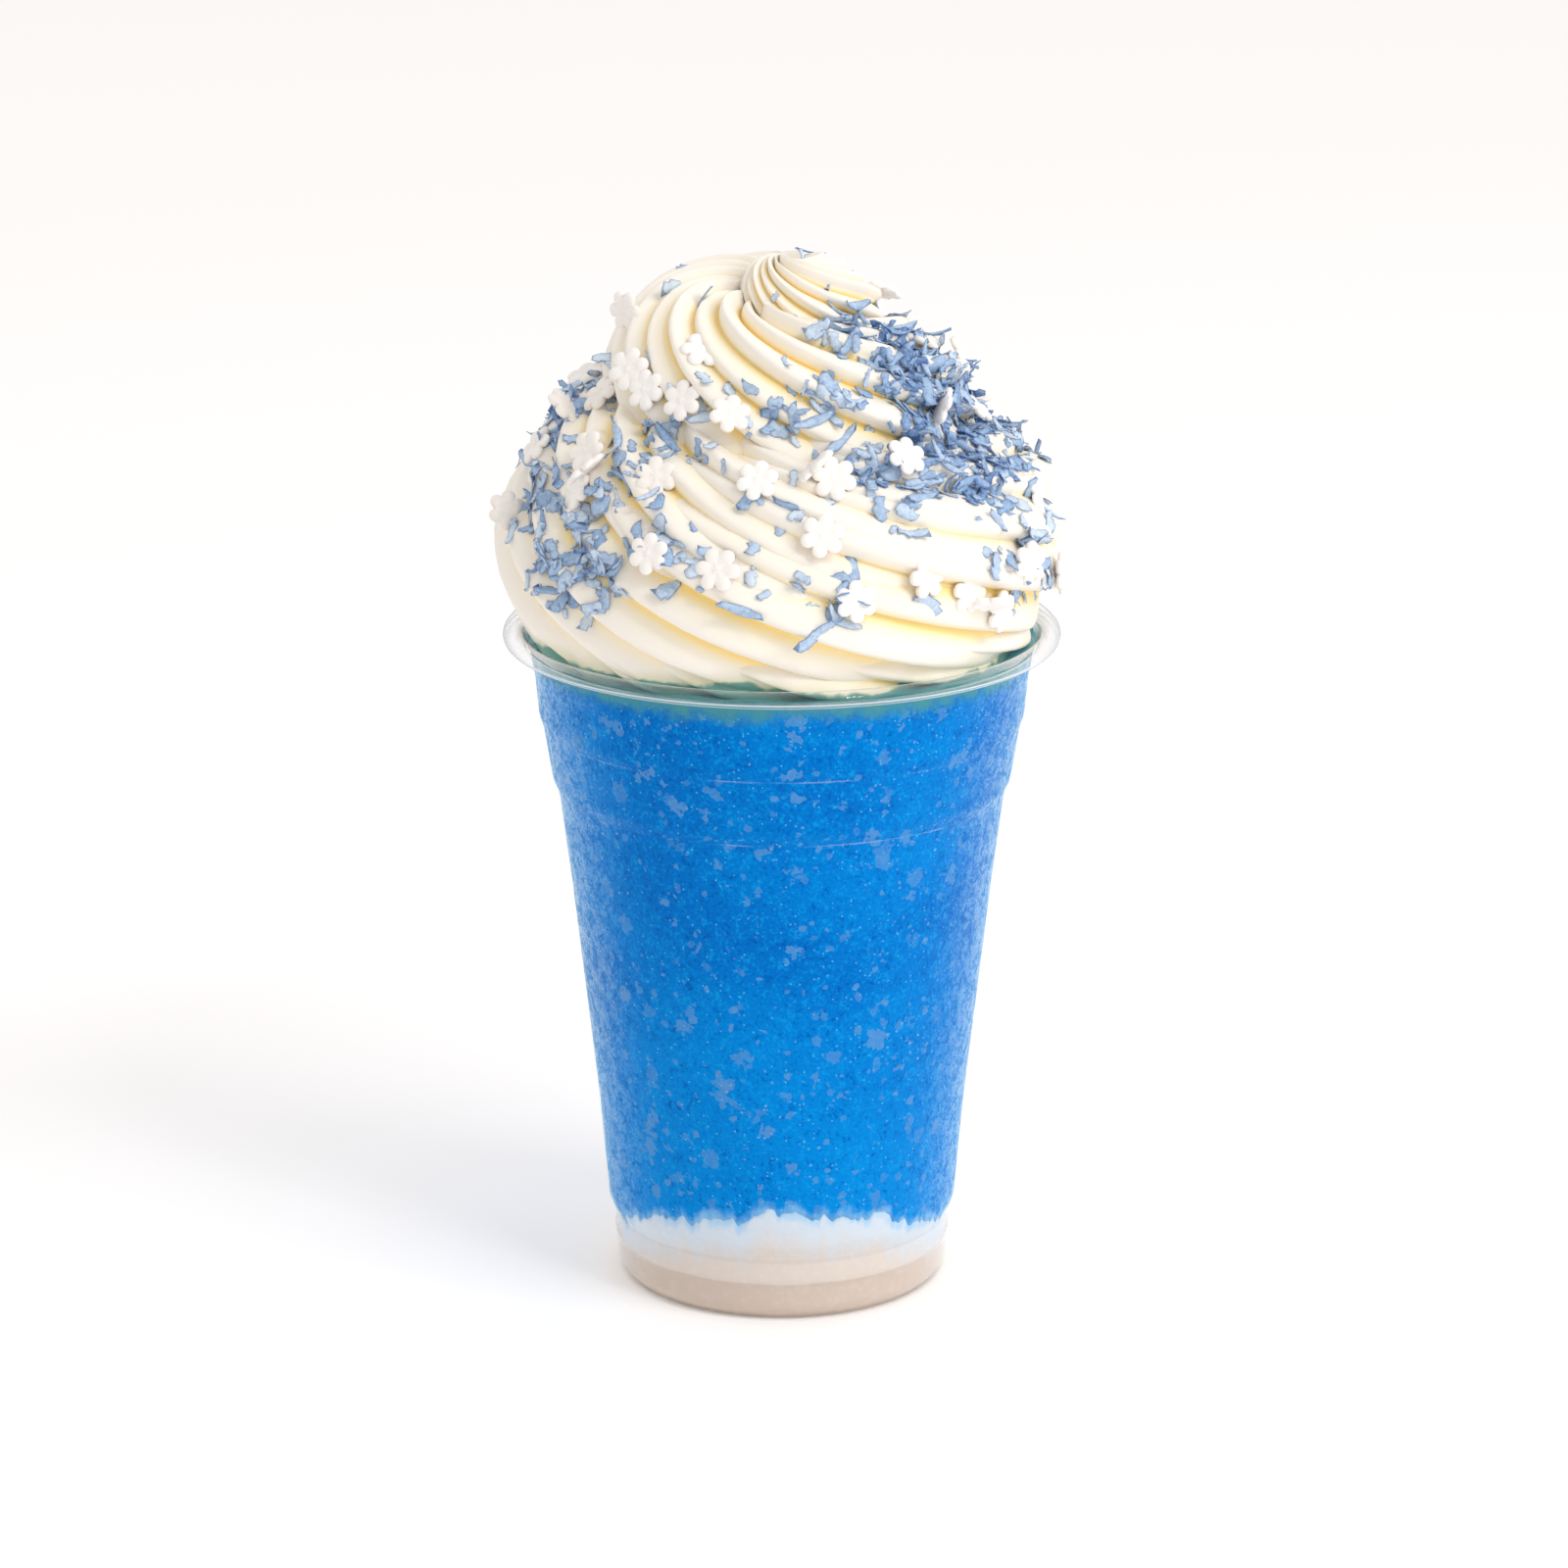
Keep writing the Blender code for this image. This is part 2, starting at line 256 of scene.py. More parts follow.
def bumped(graph, height, strength, distance=0.0002):
    """Relief too fine for the mesh, as a change of the normal."""
    values = {"Strength": strength, "Distance": distance, "Height": height}
    return graph.add("ShaderNodeBump", None, values)


def opaque(graph, tone, roughness, bump):
    """A shader that nothing shows through."""
    values = {"Base Color": tone, "Roughness": roughness, "Normal": bump}
    return graph.add("ShaderNodeBsdfPrincipled", None, values)


# %% [markdown]
# ## Turned pieces
# The cup and its two layers are round. Each is a profile of radius and height turned about the
# axis. Corners are rounded first, because moulded plastic has no sharp edge and a rounded
# edge is what catches a line of light.

# %% Profiles
def rounded(corners, reach=0.5, steps=4):
    """Replaces each inner corner of an open profile by a small arc. Values in millimetres."""
    points = [np.array(corners[0], float)]
    for before, corner, after in zip(corners, corners[1:], corners[2:]):
        corner = np.array(corner, float)
        back = np.array(before, float) - corner
        on = np.array(after, float) - corner
        cut = min(reach, 0.45 * np.linalg.norm(back), 0.45 * np.linalg.norm(on))
        start = corner + back / np.linalg.norm(back) * cut
        end = corner + on / np.linalg.norm(on) * cut
        for step in range(steps + 1):
            part = step / steps
            points.append((1 - part) ** 2 * start + 2 * part * (1 - part) * corner + part**2 * end)
    points.append(np.array(corners[-1], float))
    return points


def turned(name, radius, height, material):
    """A closed surface from radius[level, azimuth] and height[level, azimuth] in millimetres."""
    levels, around = radius.shape
    turn = np.arange(around) * 2 * math.pi / around
    points = np.stack([radius * np.cos(turn), radius * np.sin(turn), height], axis=-1) * MM
    ends = [points[0].mean(axis=0), points[-1].mean(axis=0)]
    flat = np.concatenate([points.reshape(-1, 3), ends])
    bottom, top = len(flat) - 2, len(flat) - 1
    faces = []
    for i in range(around):
        j = (i + 1) % around
        faces.append((j, i, bottom))
        faces.append(((levels - 1) * around + i, (levels - 1) * around + j, top))
        for level in range(levels - 1):
            low, high = level * around, (level + 1) * around
            faces.append((low + i, low + j, high + j, high + i))
    return mesh_piece(name, flat, faces, material)


def mesh_piece(name, points, faces, material, smooth=True):
    """A piece from points in metres and faces."""
    mesh = bpy.data.meshes.new(name)
    mesh.from_pydata(np.asarray(points).tolist(), [], faces)
    mesh.materials.append(material)
    if smooth:
        mesh.shade_smooth()
    piece = bpy.data.objects.new(name, mesh)
    bpy.context.scene.collection.objects.link(piece)
    return piece


def triangles(piece):
    piece.data.calc_loop_triangles()
    return len(piece.data.loop_triangles)


# %% [markdown]
# ## Clear plastic
# The wall is thin enough that it hardly bends what is behind it. So it is a see-through shader
# mixed with a mirror one: next to nothing is mirrored head on, and most of the light at a grazing
# angle, which is what draws the pale edges of the cup and part of the lines on its rim.
# Both faces of a thin wall act alike, so the mix follows the angle alone. Where a layer lies
# against the wall the two shine as one surface, so there the gloss is left to the layer.
# Where the outside is misted, a soft white shader comes through in fine drops. The same shader
# paints highlight lines on the rim bead and at the stacking steps, and a painted grey on the rim's
# grazing edges.

# %% Clear plastic material
# Heights in metres: the filling touches the wall between these two, with soft ends
FILLING_FOOT, RIM_FOOT = 0.0075, 0.1166
FOOT_BLUR, RIM_BLUR = 0.001, 0.0006
BEAD_OUTSIDE = 0.0472
DROPS_PER_METRE = 750
# Height and strength of the two painted highlight lines on the rim bead, where the sheet's cut edge
# ends the curl
RIM_HIGHLIGHT_LINES = ((0.11795, 0.75), (0.11735, 0.45))
# The same painted highlight lines where the wall bends at its stacking steps
STEP_HIGHLIGHT_LINES = ((0.09075, 0.2), (0.1028, 0.17))

clear_plastic, graph = new_material("clear_plastic")
place = place_of(graph)
x, y, z = graph.split(place)
drops, pick = cells(graph, place, DROPS_PER_METRE)
drop = graph.fade(drops, 0.10, 0.26) * graph.smooth(graph.split(pick)[0], 0.62, 0.66)
patch = graph.smooth(noise(graph, place, 45, 3), 0.44, 0.60)
# The cold stretch of the wall, where air leaves drops
cold = graph.fade(z, 0.110, 0.114) * graph.smooth(z, 0.020, 0.030)
touched = graph.smooth(z, FILLING_FOOT, FILLING_FOOT + FOOT_BLUR)
bare = 1 - touched * graph.fade(z, RIM_FOOT, RIM_FOOT + RIM_BLUR)
bump = bumped(graph, drop * cold, 0.3)
see_through = graph.add("ShaderNodeBsdfTransparent", None, {"Color": (0.985, 0.985, 0.985, 1)})
mirror = graph.add(
    "ShaderNodeBsdfPrincipled",
    None,
    {"Base Color": (0.97, 0.97, 0.98, 1), "Metallic": 1.0, "Roughness": 0.06, "Normal": bump},
)
facing = graph.add("ShaderNodeLayerWeight", None, {"Blend": 0.5, "Normal": bump}, out="Facing")
rim = graph.smooth(z, RIM_FOOT, RIM_FOOT + RIM_BLUR)
# Painted grey on the rim's grazing edges, mixed into the whitish shader's colour
grazing = rim * graph.smooth(facing, 0.70, 0.92)
pale = graph.mix(grazing, colour(226, 234, 246), colour(132, 136, 142))
mist_and_highlight_shader = graph.add("ShaderNodeBsdfPrincipled", None, {"Base Color": pale, "Roughness": 0.35})
mirrored = bare * graph.maths("MINIMUM", 1.15 * facing**4.6, 0.7)
mirrored = mirrored + rim * (0.02 + 0.16 * facing**2)
wall = graph.add("ShaderNodeMixShader", None, {0: mirrored, 1: see_through, 2: mirror})
# Real condensation in fine drops on the cold wall, and the painted grey-white of the rim's grazing
# edges
mist_and_highlights = cold * 0.2 * drop * patch + rim * 0.5 * graph.smooth(facing, 0.6, 0.95)
from_axis = graph.maths("SQRT", x * x + y * y)
outer = graph.smooth(from_axis, BEAD_OUTSIDE, BEAD_OUTSIDE + RIM_BLUR)
# Painted highlight lines: on the rim bead, and broken by noise at the stacking steps
step_highlight_breaks = graph.smooth(noise(graph, place, 70, 4), 0.45, 0.66)
for lines, part in ((RIM_HIGHLIGHT_LINES, outer), (STEP_HIGHLIGHT_LINES, step_highlight_breaks)):
    for level, strength in lines:
        line = graph.line(z, level, 0.00007, 0.00022)
        mist_and_highlights = mist_and_highlights + line * part * strength * (1 - mist_and_highlights)
wall = graph.add("ShaderNodeMixShader", None, {0: mist_and_highlights, 1: wall, 2: mist_and_highlight_shader})
surface(graph, wall)

# %% [markdown]
# ## The cup
# The wall is formed from one thin sheet: a foot ring round a raised floor, a tapered body, a
# step near the top that keeps stacked cups apart, a neck, and a rim rolled into a bead.

# %% Cup
# Sizes of the cup are in millimetres, as (radius, height)
WALL = 0.45
PUNT = 3.4
CORNER = 0.7
AROUND = 192
OUTER = (
    (28.5, 0.0), (29.5, 0.9), (29.75, 2.6), (29.85, 6.6), (30.15, 7.4), (30.3, 11.3), (31.5, 14.4),
    (33.1, 33.0), (37.6, 73.0), (39.55, 88.6), (39.95, 90.8), (40.8, 92.4), (42.3, 101.6),
    (42.6, 102.9), (43.1, 104.2), (43.75, 111.6), (44.1, 112.8), (44.5, 116.0), (45.3, 117.4),
)
PUNT_EDGE = ((24.0, PUNT), (25.4, 0.7), (26.2, 0.0))
INNER_FOOT = ((28.6, 1.4), (28.0, WALL), (26.4, WALL), (25.6, PUNT + WALL), (0.0, PUNT + WALL))
BEAD_MIDDLE = (47.15, 118.45)
BEAD_SIZE = (1.85, 1.5)


def bead(size, start, end, steps=14):
    """The rolled rim: part of an oval, by angle in degrees."""
    angles = np.radians(np.linspace(start, end, steps))
    return [np.array(BEAD_MIDDLE) + np.array(size) * (math.cos(a), math.sin(a)) for a in angles]


def inner_radius(height):
    """Radius of the inside of the wall, in millimetres."""
    radii, heights = zip(*OUTER)
    return np.interp(height, heights, radii) - WALL


outside = rounded([(0.0, PUNT), *PUNT_EDGE, *OUTER], CORNER)[1:]
outside += bead(BEAD_SIZE, -145, 165)
inside = [(r - WALL, h) for r, h in reversed(OUTER[3:])]
inside = rounded([*inside, *INNER_FOOT], CORNER)[:-1]
profile = np.array(outside + inside)
cup = turned(
    "cup_shell",
    np.repeat(profile[:, :1], AROUND, axis=1),
    np.repeat(profile[:, 1:], AROUND, axis=1),
    clear_plastic,
)
print("cup:", triangles(cup), "triangles, wall", WALL, "mm")

# %% [markdown]
# ## Where the layers meet
# The line between the pale layer and the ice is higher at the front and back than at the
# sides, and torn into small teeth. One function gives its height for both pieces, so that
# they share the same edge and nothing shows between them.

# %% Interface line
FINE_AROUND = 480
SIDE_LEVEL, FRONT_RISE = 12.0, 8.6
azimuth = np.arange(FINE_AROUND) * 2 * math.pi / FINE_AROUND


def ragged(turn, seed, waves, size):
    """A smooth random line round the cup, from a few whole waves."""
    draw = np.random.default_rng(seed)
    total = np.zeros_like(turn)
    for wave in waves:
        total += size * draw.uniform(0.4, 1.0) * np.sin(wave * turn + draw.uniform(0, 2 * math.pi))
    return total


def interface(turn):
    """Height of the line between the layers, in millimetres."""
    level = SIDE_LEVEL + FRONT_RISE * np.sin(turn) ** 2
    teeth = ragged(turn, 3, (5, 9, 13, 19), 0.62) + ragged(turn, 4, (27, 37, 47, 61), 0.3)
    return level + teeth + ragged(turn, 5, (83, 109, 137, 163), 0.2)


meeting = interface(azimuth)
print("layers meet between", round(meeting.min(), 1), "and", round(meeting.max(), 1), "mm")

# %% [markdown]
# ## The two layers
# What fills a clear cup touches its wall. Each layer reaches a little way into the wall, so
# no gap of air shows between them. Each point keeps its height over the meeting line as an
# attribute, which the materials use for the soft change of colour there.

# %% Layer meshes
TUCK = 0.12
SLUSH_TOP = 117.2
# The face where the layers meet, inwards from the wall, as (radius, height)
MEETING_FACE = ((22.0, meeting - 0.4), (12.0, 18.0))


def store(mesh, name, values, kind="FLOAT"):
    """Keeps a number or a vector for each point of a mesh."""
    kept = mesh.attributes.new(name, kind, "POINT")
    key = "vector" if kind == "FLOAT_VECTOR" else "value"
    kept.data.foreach_set(key, np.asarray(values, np.float32).ravel())


def layer(name, levels, material):
    """A turned layer. Each level is (radius, height), as numbers or one value per azimuth."""
    radius = np.stack([np.broadcast_to(r, azimuth.shape) for r, _ in levels])
    height = np.stack([np.broadcast_to(h, azimuth.shape) for _, h in levels])
    piece = turned(name, radius, height, material)
    over = (height - meeting[None]).ravel()
    store(piece.data, "over_line", [*over, over.min(), over.max()])
    return piece


def along_wall(low, high, count):
    """Levels up the inside of the wall between two heights, each one value per azimuth."""
    found = []
    for part in np.linspace(0, 1, count):
        height = low + (high - low) * part
        found.append((inner_radius(height) + TUCK, height))
    return found


def wetted(graph, tone, roughness, bump, clear=1.0, sheen=0.0):
    """A filling seen through the wall that it touches: its own matt colour, glossy at the edges.

    The gloss is stronger where `clear` is nearer to 1, and `sheen` adds a soft cyan haze to it.
    """
    facing = graph.add("ShaderNodeLayerWeight", None, {"Blend": 0.5}, out="Facing")
    shine = graph.smooth(facing, 0.32, 0.68) * clear
    shader = opaque(graph, tone, roughness, bump)
    inputs = shader.socket.node.inputs
    graph.tree.links.new(shine.socket, inputs["Coat Weight"])
    inputs["Specular IOR Level"].default_value = 0.0
    inputs["Coat Roughness"].default_value = 0.06
    inputs["Sheen Weight"].default_value = sheen
    inputs["Sheen Roughness"].default_value = 0.4
    inputs["Sheen Tint"].default_value = colour(160, 222, 250)
    return shader


# %% [markdown]
# ## Pale layer
# Sweet cream has sunk to the foot. It is blue-white under the ice, turns to warm beige further
# down, and is a shade darker in the foot ring. A dark line where the wall bends and a darker bottom
# edge are painted shade.

# %% Pale layer
pale_layer, graph = new_material("pale_layer")
place = place_of(graph)
_, _, z = graph.split(place)
over = attribute(graph, "over_line")
cloud = noise(graph, place, 160, 4)
streak = noise(graph, place, 700, 2)
depth = over + (cloud - 0.5) * 5.0
tone = graph.mix(graph.smooth(depth, -10.5, -1.5), colour(222, 210, 200), colour(210, 221, 232))
tone = graph.mix(graph.smooth(depth, -1.8, 0.3), tone, colour(170, 206, 236))
low = graph.fade(z + (cloud - 0.5) * 0.0006, 0.0067, 0.0072)
tone = graph.mix(low * 0.75, tone, colour(206, 188, 174))
# Painted shade: a dark line where the cup's wall bends
bend_shade = graph.line(z, 0.0113, 0.0001, 0.0006)
tone = graph.mix(bend_shade * 0.16, tone, colour(190, 176, 166))
# Painted shade, darker towards the very bottom where the layer meets the cup's foot
tone = graph.mix(graph.smooth(z, 0.0002, 0.0016, 0.8, 0.0), tone, colour(176, 156, 138))
tone = graph.mix((streak - 0.5) * 0.35, tone, colour(255, 250, 244))
bump = bumped(graph, streak, 0.2, 0.0003)
surface(graph, wetted(graph, tone, 0.45, bump))

on_punt, on_ring = PUNT + WALL / 2, WALL / 2
foot = [(24.0, on_punt), (25.5, on_punt), (26.3, on_ring), (28.2, on_ring), (28.9, 1.4)]
base_levels = [*foot, *along_wall(2.2, meeting, 26), *MEETING_FACE]
base_layer = layer("pale_layer", base_levels, pale_layer)
print("pale layer:", triangles(base_layer), "triangles")

# %% [markdown]
# ## Blue slush
# Crushed ice in blue syrup. Its grains are finer than a millimetre and show as lighter flecks, with
# painted glints on a few that sparkle. Larger flat chips of ice lie against the wall as pale spots.
# Near the mouth, melted cream has turned the syrup teal.

# %% Slush material
DEEP = colour(0, 108, 195)
BRIGHT = colour(0, 138, 221)
FLECK = colour(14, 156, 226)
SHADE = colour(0, 80, 162)
CHIP = colour(86, 144, 204)
SPARK = colour(120, 208, 246)
TEAL = colour(76, 146, 150)
# Chips: cells in a metre, how far their edges are torn in metres, size, share of cells without one
CHIP_LAYERS = ((150, 0.0056, 0.31, 0.64), (200, 0.0042, 0.38, 0.40), (420, 0.0018, 0.38, 0.50))

slush_ice, graph = new_material("slush_ice")
place = place_of(graph)
_, _, z = graph.split(place)
over = attribute(graph, "over_line")
cloud = noise(graph, place, 38, 3)
grain = noise(graph, place, 1500, 3, 0.7)
lumps = noise(graph, place, 420, 3, 0.6)
ragged_line = noise(graph, place, 260, 4, 0.6)
tone = graph.mix(graph.smooth(cloud, 0.35, 0.68) * 0.5, DEEP, BRIGHT)
tone = graph.mix(graph.smooth(z, 0.028, 0.070, 0.6, 0.0), tone, BRIGHT)
tone = graph.mix(graph.smooth(grain + (lumps - 0.5) * 0.5, 0.50, 0.70) * 0.65, tone, FLECK)
coarse = grain + (lumps - 0.5) * 0.7
tone = graph.mix(graph.smooth(coarse, 0.26, 0.44, 0.7, 0.0), tone, SHADE)
values = {"Vector": place, "Scale": 650, "Detail": 3}
wobble = graph.add("ShaderNodeTexNoise", None, values, out="Color")


def chip_layer(tone, scale, shake, spread, share):
    """Flat chips with ragged outlines: each cell of the pattern has its own size and strength."""
    moved = graph.vector("MULTIPLY_ADD", wobble, (shake,) * 3, place)
    far, chance = cells(graph, moved, scale)
    lucky, strong, _ = graph.split(chance)
    chip = graph.fade(far - lucky * spread, -0.05, 0.0)
    chip = chip * graph.smooth(lucky, share, share + 0.05)
    return graph.mix(chip * (0.35 + 0.5 * strong) * (0.65 + 0.7 * grain), tone, CHIP)


for chips in CHIP_LAYERS:
    tone = chip_layer(tone, *chips)
specks, pick = cells(graph, place, 1250)
glint = graph.fade(specks, 0.12, 0.30) * graph.smooth(graph.split(pick)[0], 0.80, 0.84)
# Painted glints: a few grains are given a lighter sparkle colour
tone = graph.mix(glint * 0.5, tone, SPARK)
torn = over + (ragged_line - 0.5) * 7.0
tone = graph.mix(graph.smooth(torn, -1.2, 2.4, 0.8, 0.0), tone, colour(146, 198, 236))
top = graph.smooth(z + (ragged_line - 0.5) * 0.006, 0.1124, 0.1166)
tone = graph.mix(top, tone, TEAL)
bump = bumped(graph, grain + glint, 0.3, 0.0003)
clear = graph.smooth(coarse, 0.42, 0.58, 0.15, 1.0)
surface(graph, wetted(graph, tone, 0.3 + grain * 0.2, bump, clear, sheen=0.65))

# %% Slush
lid = SLUSH_TOP + ragged(azimuth, 8, (5, 9, 23), 0.15)
lid_levels = [(43.2, lid + 0.15), (38.0, lid - 0.2)]
slush_levels = [*reversed(MEETING_FACE), *along_wall(meeting, lid, 100), *lid_levels]
slush = layer("blue_slush", slush_levels, slush_ice)
print("slush:", triangles(slush), "triangles")

# %% [markdown]
# ## Shapes from a rule
# A Geometry Nodes tree makes a shape from named sizes. The helper gives the modifier its
# inputs by identifier before anything is evaluated, keeps the result as a plain mesh and
# throws the modifier away.

# %% Geometry Nodes helpers
SOCKETS = {
    "number": "NodeSocketFloat",
    "count": "NodeSocketInt",
    "material": "NodeSocketMaterial",
    "object": "NodeSocketObject",
    "group": "NodeSocketCollection",
}


def new_tree(name, inputs):
    """A tree with a geometry in and out, and named inputs of the given kinds."""
    tree = bpy.data.node_groups.new(name, "GeometryNodeTree")
    tree.interface.new_socket("Geometry", in_out="INPUT", socket_type="NodeSocketGeometry")
    tree.interface.new_socket("Geometry", in_out="OUTPUT", socket_type="NodeSocketGeometry")
    for title, kind in inputs.items():
        tree.interface.new_socket(title, in_out="INPUT", socket_type=SOCKETS[kind])
    graph = Graph(tree)
    entry = graph.add("NodeGroupInput").socket.node
    return graph, {socket.name: Wire(graph, socket) for socket in entry.outputs if socket.name}


def finish_tree(graph, geometry, material):
    """Ends a tree as a real mesh with its material."""
    real = graph.add("GeometryNodeRealizeInstances", None, {"Geometry": geometry})
    shaded = graph.add("GeometryNodeSetShadeSmooth", None, {"Geometry": real})
    painted = graph.add("GeometryNodeSetMaterial", None, {"Geometry": shaded, "Material": material})
    graph.add("NodeGroupOutput", None, {"Geometry": painted})
    print("tree", graph.tree.name, "of", len(graph.tree.nodes), "nodes")


def named(graph, name, kind="FLOAT"):
    """What the incoming mesh keeps for each point under a name."""
    return graph.add("GeometryNodeInputNamedAttribute", {"data_type": kind}, {"Name": name})


def keep(graph, geometry, name, value, domain):
    """Stores a number with each point or copy, for the material."""
    kind = {"data_type": "FLOAT", "domain": domain}
    values = {"Geometry": geometry, "Name": name, "Value": value}
    return graph.add("GeometryNodeStoreNamedAttribute", kind, values)


def random_number(graph, low, high, seed, **values):
    """A number between two ends, drawn for each point or copy."""
    values = {2: low, 3: high, "Seed": seed, **values}
    return graph.add("FunctionNodeRandomValue", {"data_type": "FLOAT"}, values, out=1)


def run_tree(name, graph, values, start=None):
    """Runs a tree on a mesh and returns the result as a new plain piece."""
    holder = bpy.data.objects.new(name, start or bpy.data.meshes.new(name))
    bpy.context.scene.collection.objects.link(holder)
    modifier = holder.modifiers.new(name, "NODES")
    modifier.node_group = graph.tree
    for item in graph.tree.interface.items_tree:
        if item.item_type == "SOCKET" and item.in_out == "INPUT" and item.name in values:
            modifier[item.identifier] = values[item.name]
    evaluated = holder.evaluated_get(bpy.context.evaluated_depsgraph_get())
    made = bpy.data.meshes.new_from_object(evaluated)
    made.name = name
    bpy.data.objects.remove(holder)
    piece = bpy.data.objects.new(name, made)
    bpy.context.scene.collection.objects.link(piece)
    return piece


# %% [markdown]
# ## The piped rope
# The swirl is one rope pressed through a star nozzle, laid in the mouth of the cup and wound
# up clockwise. The nozzle doesn't turn while it travels, so each ridge keeps its direction
# in space and seems to climb round the rope. The rule is: a place along the rope gives the
# path's radius, height and thickness, and a place round it gives the ridge. A grid bent by
# that rule keeps its long lines on the ridges, so they stay crisp.

# %% Rope sizes
# Lengths in millimetres, leads in radians or turns
LOBES = 15
POINTS_PER_LOBE = 12
RIDGE_DEPTH = 3.1
TWIST_LEAD = 0.55
TURN_LEAD = 0.06
FIRST_TURN, LAST_TURN = -2.0, 2.75
STATIONS_PER_TURN = 72
# Height of one ridge round its width: steep on one side, as the nozzle drags it
RIDGE_SHAPE = ((0.0, 0.0), (0.12, 0.62), (0.25, 1.0), (0.5, 0.8), (0.78, 0.36), (1.0, 0.0))
FULL_SIZE = 21.0
MOUTH_RADIUS = 45.2
RIM_TOP = 120.0

# Every quarter turn: path radius, height of the rope's middle, radius of the rope
ROPE = (
    (28.4, 122.0, 14.8), (28.4, 122.0, 14.8), (28.3, 123.0, 15.6), (28.0, 126.0, 17.0),
    (27.3, 133.0, 21.2), (27.3, 135.0, 21.0), (27.4, 133.8, 21.3), (27.5, 134.5, 21.0),
    (27.0, 136.0, 21.3), (26.5, 137.0, 20.8), (23.5, 143.5, 20.3), (19.5, 150.0, 19.0),
    (16.0, 155.0, 17.5), (15.5, 158.5, 17.0), (14.0, 163.5, 16.5), (10.5, 169.0, 13.8),
    (7.0, 172.5, 11.0), (4.0, 175.5, 8.8), (1.5, 179.5, 5.5), (0.3, 183.0, 2.2),
)
SCALES = ((0.0, 30.0), (120.0, 190.0), (0.0, 22.0))


def rope_curve(column):
    """One column of the table as points of a curve from 0 to 1."""
    low, high = SCALES[column]
    return [(i / (len(ROPE) - 1), (row[column] - low) / (high - low)) for i, row in enumerate(ROPE)]


print("rope:", len(ROPE) - 1, "quarter turns,", LOBES, "ridges")

# %% Rope tree
graph, given = new_tree(
    "piped_rope",
    {
        "Ridges": "number", "Ridge depth": "number", "First turn": "number", "Last turn": "number",
        "Twist lead": "number", "Turn lead": "number", "Points round": "count", "Stations": "count",
        "Underside": "number", "Mouth radius": "number", "Rim top": "number", "Seed": "count",
        "Finish": "material",
    },
)
counts = {"Vertices X": given["Points round"], "Vertices Y": given["Stations"]}
grid = graph.add("GeometryNodeMeshGrid", None, {"Size X": 1.0, "Size Y": 1.0, **counts})
across, along, _ = graph.split(graph.add("GeometryNodeInputPosition"))
across, along = across + 0.5, along + 0.5
span = given["Last turn"] - given["First turn"]
turn = given["First turn"] + along * span


def sampled(column):
    """The column's value at each place along the rope."""
    low, high = SCALES[column]
    curve = graph.add("ShaderNodeFloatCurve", {"curve": rope_curve(column)}, {"Value": along})
    return low + curve * (high - low)


path, level, size = sampled(0), sampled(1), sampled(2)
closing = graph.smooth(along, 0.0, 0.004) * graph.fade(along, 0.993, 1.0)
way = (turn - given["Turn lead"]) * (-2 * math.pi)
lead = way - given["Twist lead"] * graph.maths("SINE", way)
phase = across * given["Ridges"]
lobe = graph.maths("FLOOR", phase)
across_lobe = {"Value": graph.maths("FRACT", phase)}
shape = graph.add("ShaderNodeFloatCurve", {"curve": RIDGE_SHAPE}, across_lobe)
tall = random_number(graph, 0.66, 1.3, given["Seed"], ID=lobe)
angle = phase * (2 * math.pi) / given["Ridges"] - lead
sway = noise(graph, graph.join(turn * 2.2, graph.maths("SINE", angle) * 1.2, lobe * 3.7), 1.6)
ridge = shape * tall * (0.8 + 0.4 * sway)
thin = (size / FULL_SIZE) ** 0.6
relief = given["Ridge depth"] * thin * (ridge - 0.6)
reach = (size + relief + (sway - 0.5)) * closing
radius = path + reach * graph.maths("COSINE", angle)
height = graph.maths("MAXIMUM", level + reach * graph.maths("SINE", angle), given["Underside"])
over_rim = graph.maths("MAXIMUM", height - given["Rim top"] - 0.4, 0.0)
limit = given["Mouth radius"] - 0.9 + over_rim * 3
radius = graph.maths("MAXIMUM", graph.maths("MINIMUM", radius, limit), 0.25)
east, north = radius * graph.maths("COSINE", way), radius * graph.maths("SINE", way)
spot = graph.join(east * MM, north * MM, height * MM)
kept = keep(graph, grid, "ridge", ridge, "POINT")
bent = graph.add("GeometryNodeSetPosition", None, {"Geometry": kept, "Position": spot})
joined = graph.add("GeometryNodeMergeByDistance", None, {"Geometry": bent, "Distance": 2e-6})
turned_out = graph.add("GeometryNodeFlipFaces", None, {"Mesh": joined})
finish_tree(graph, turned_out, given["Finish"])
rope_tree = graph

# %% [markdown]
# ## Cream
# Whipped cream is nearly white on its ridges. The grooves are painted gold, a painted glow for the
# light that bounces between yellow-white walls there. The ridge height that the tree kept drives
# that painted change from crest to groove. Where the cream has sunk into the melt it is thin and a
# little green.

# %% Cream material
cream_finish, graph = new_material("piped_cream")
place = place_of(graph)
_, _, z = graph.split(place)
high = attribute(graph, "ridge")
cloud = noise(graph, place, 55, 3)
fine = noise(graph, place, 900, 3)
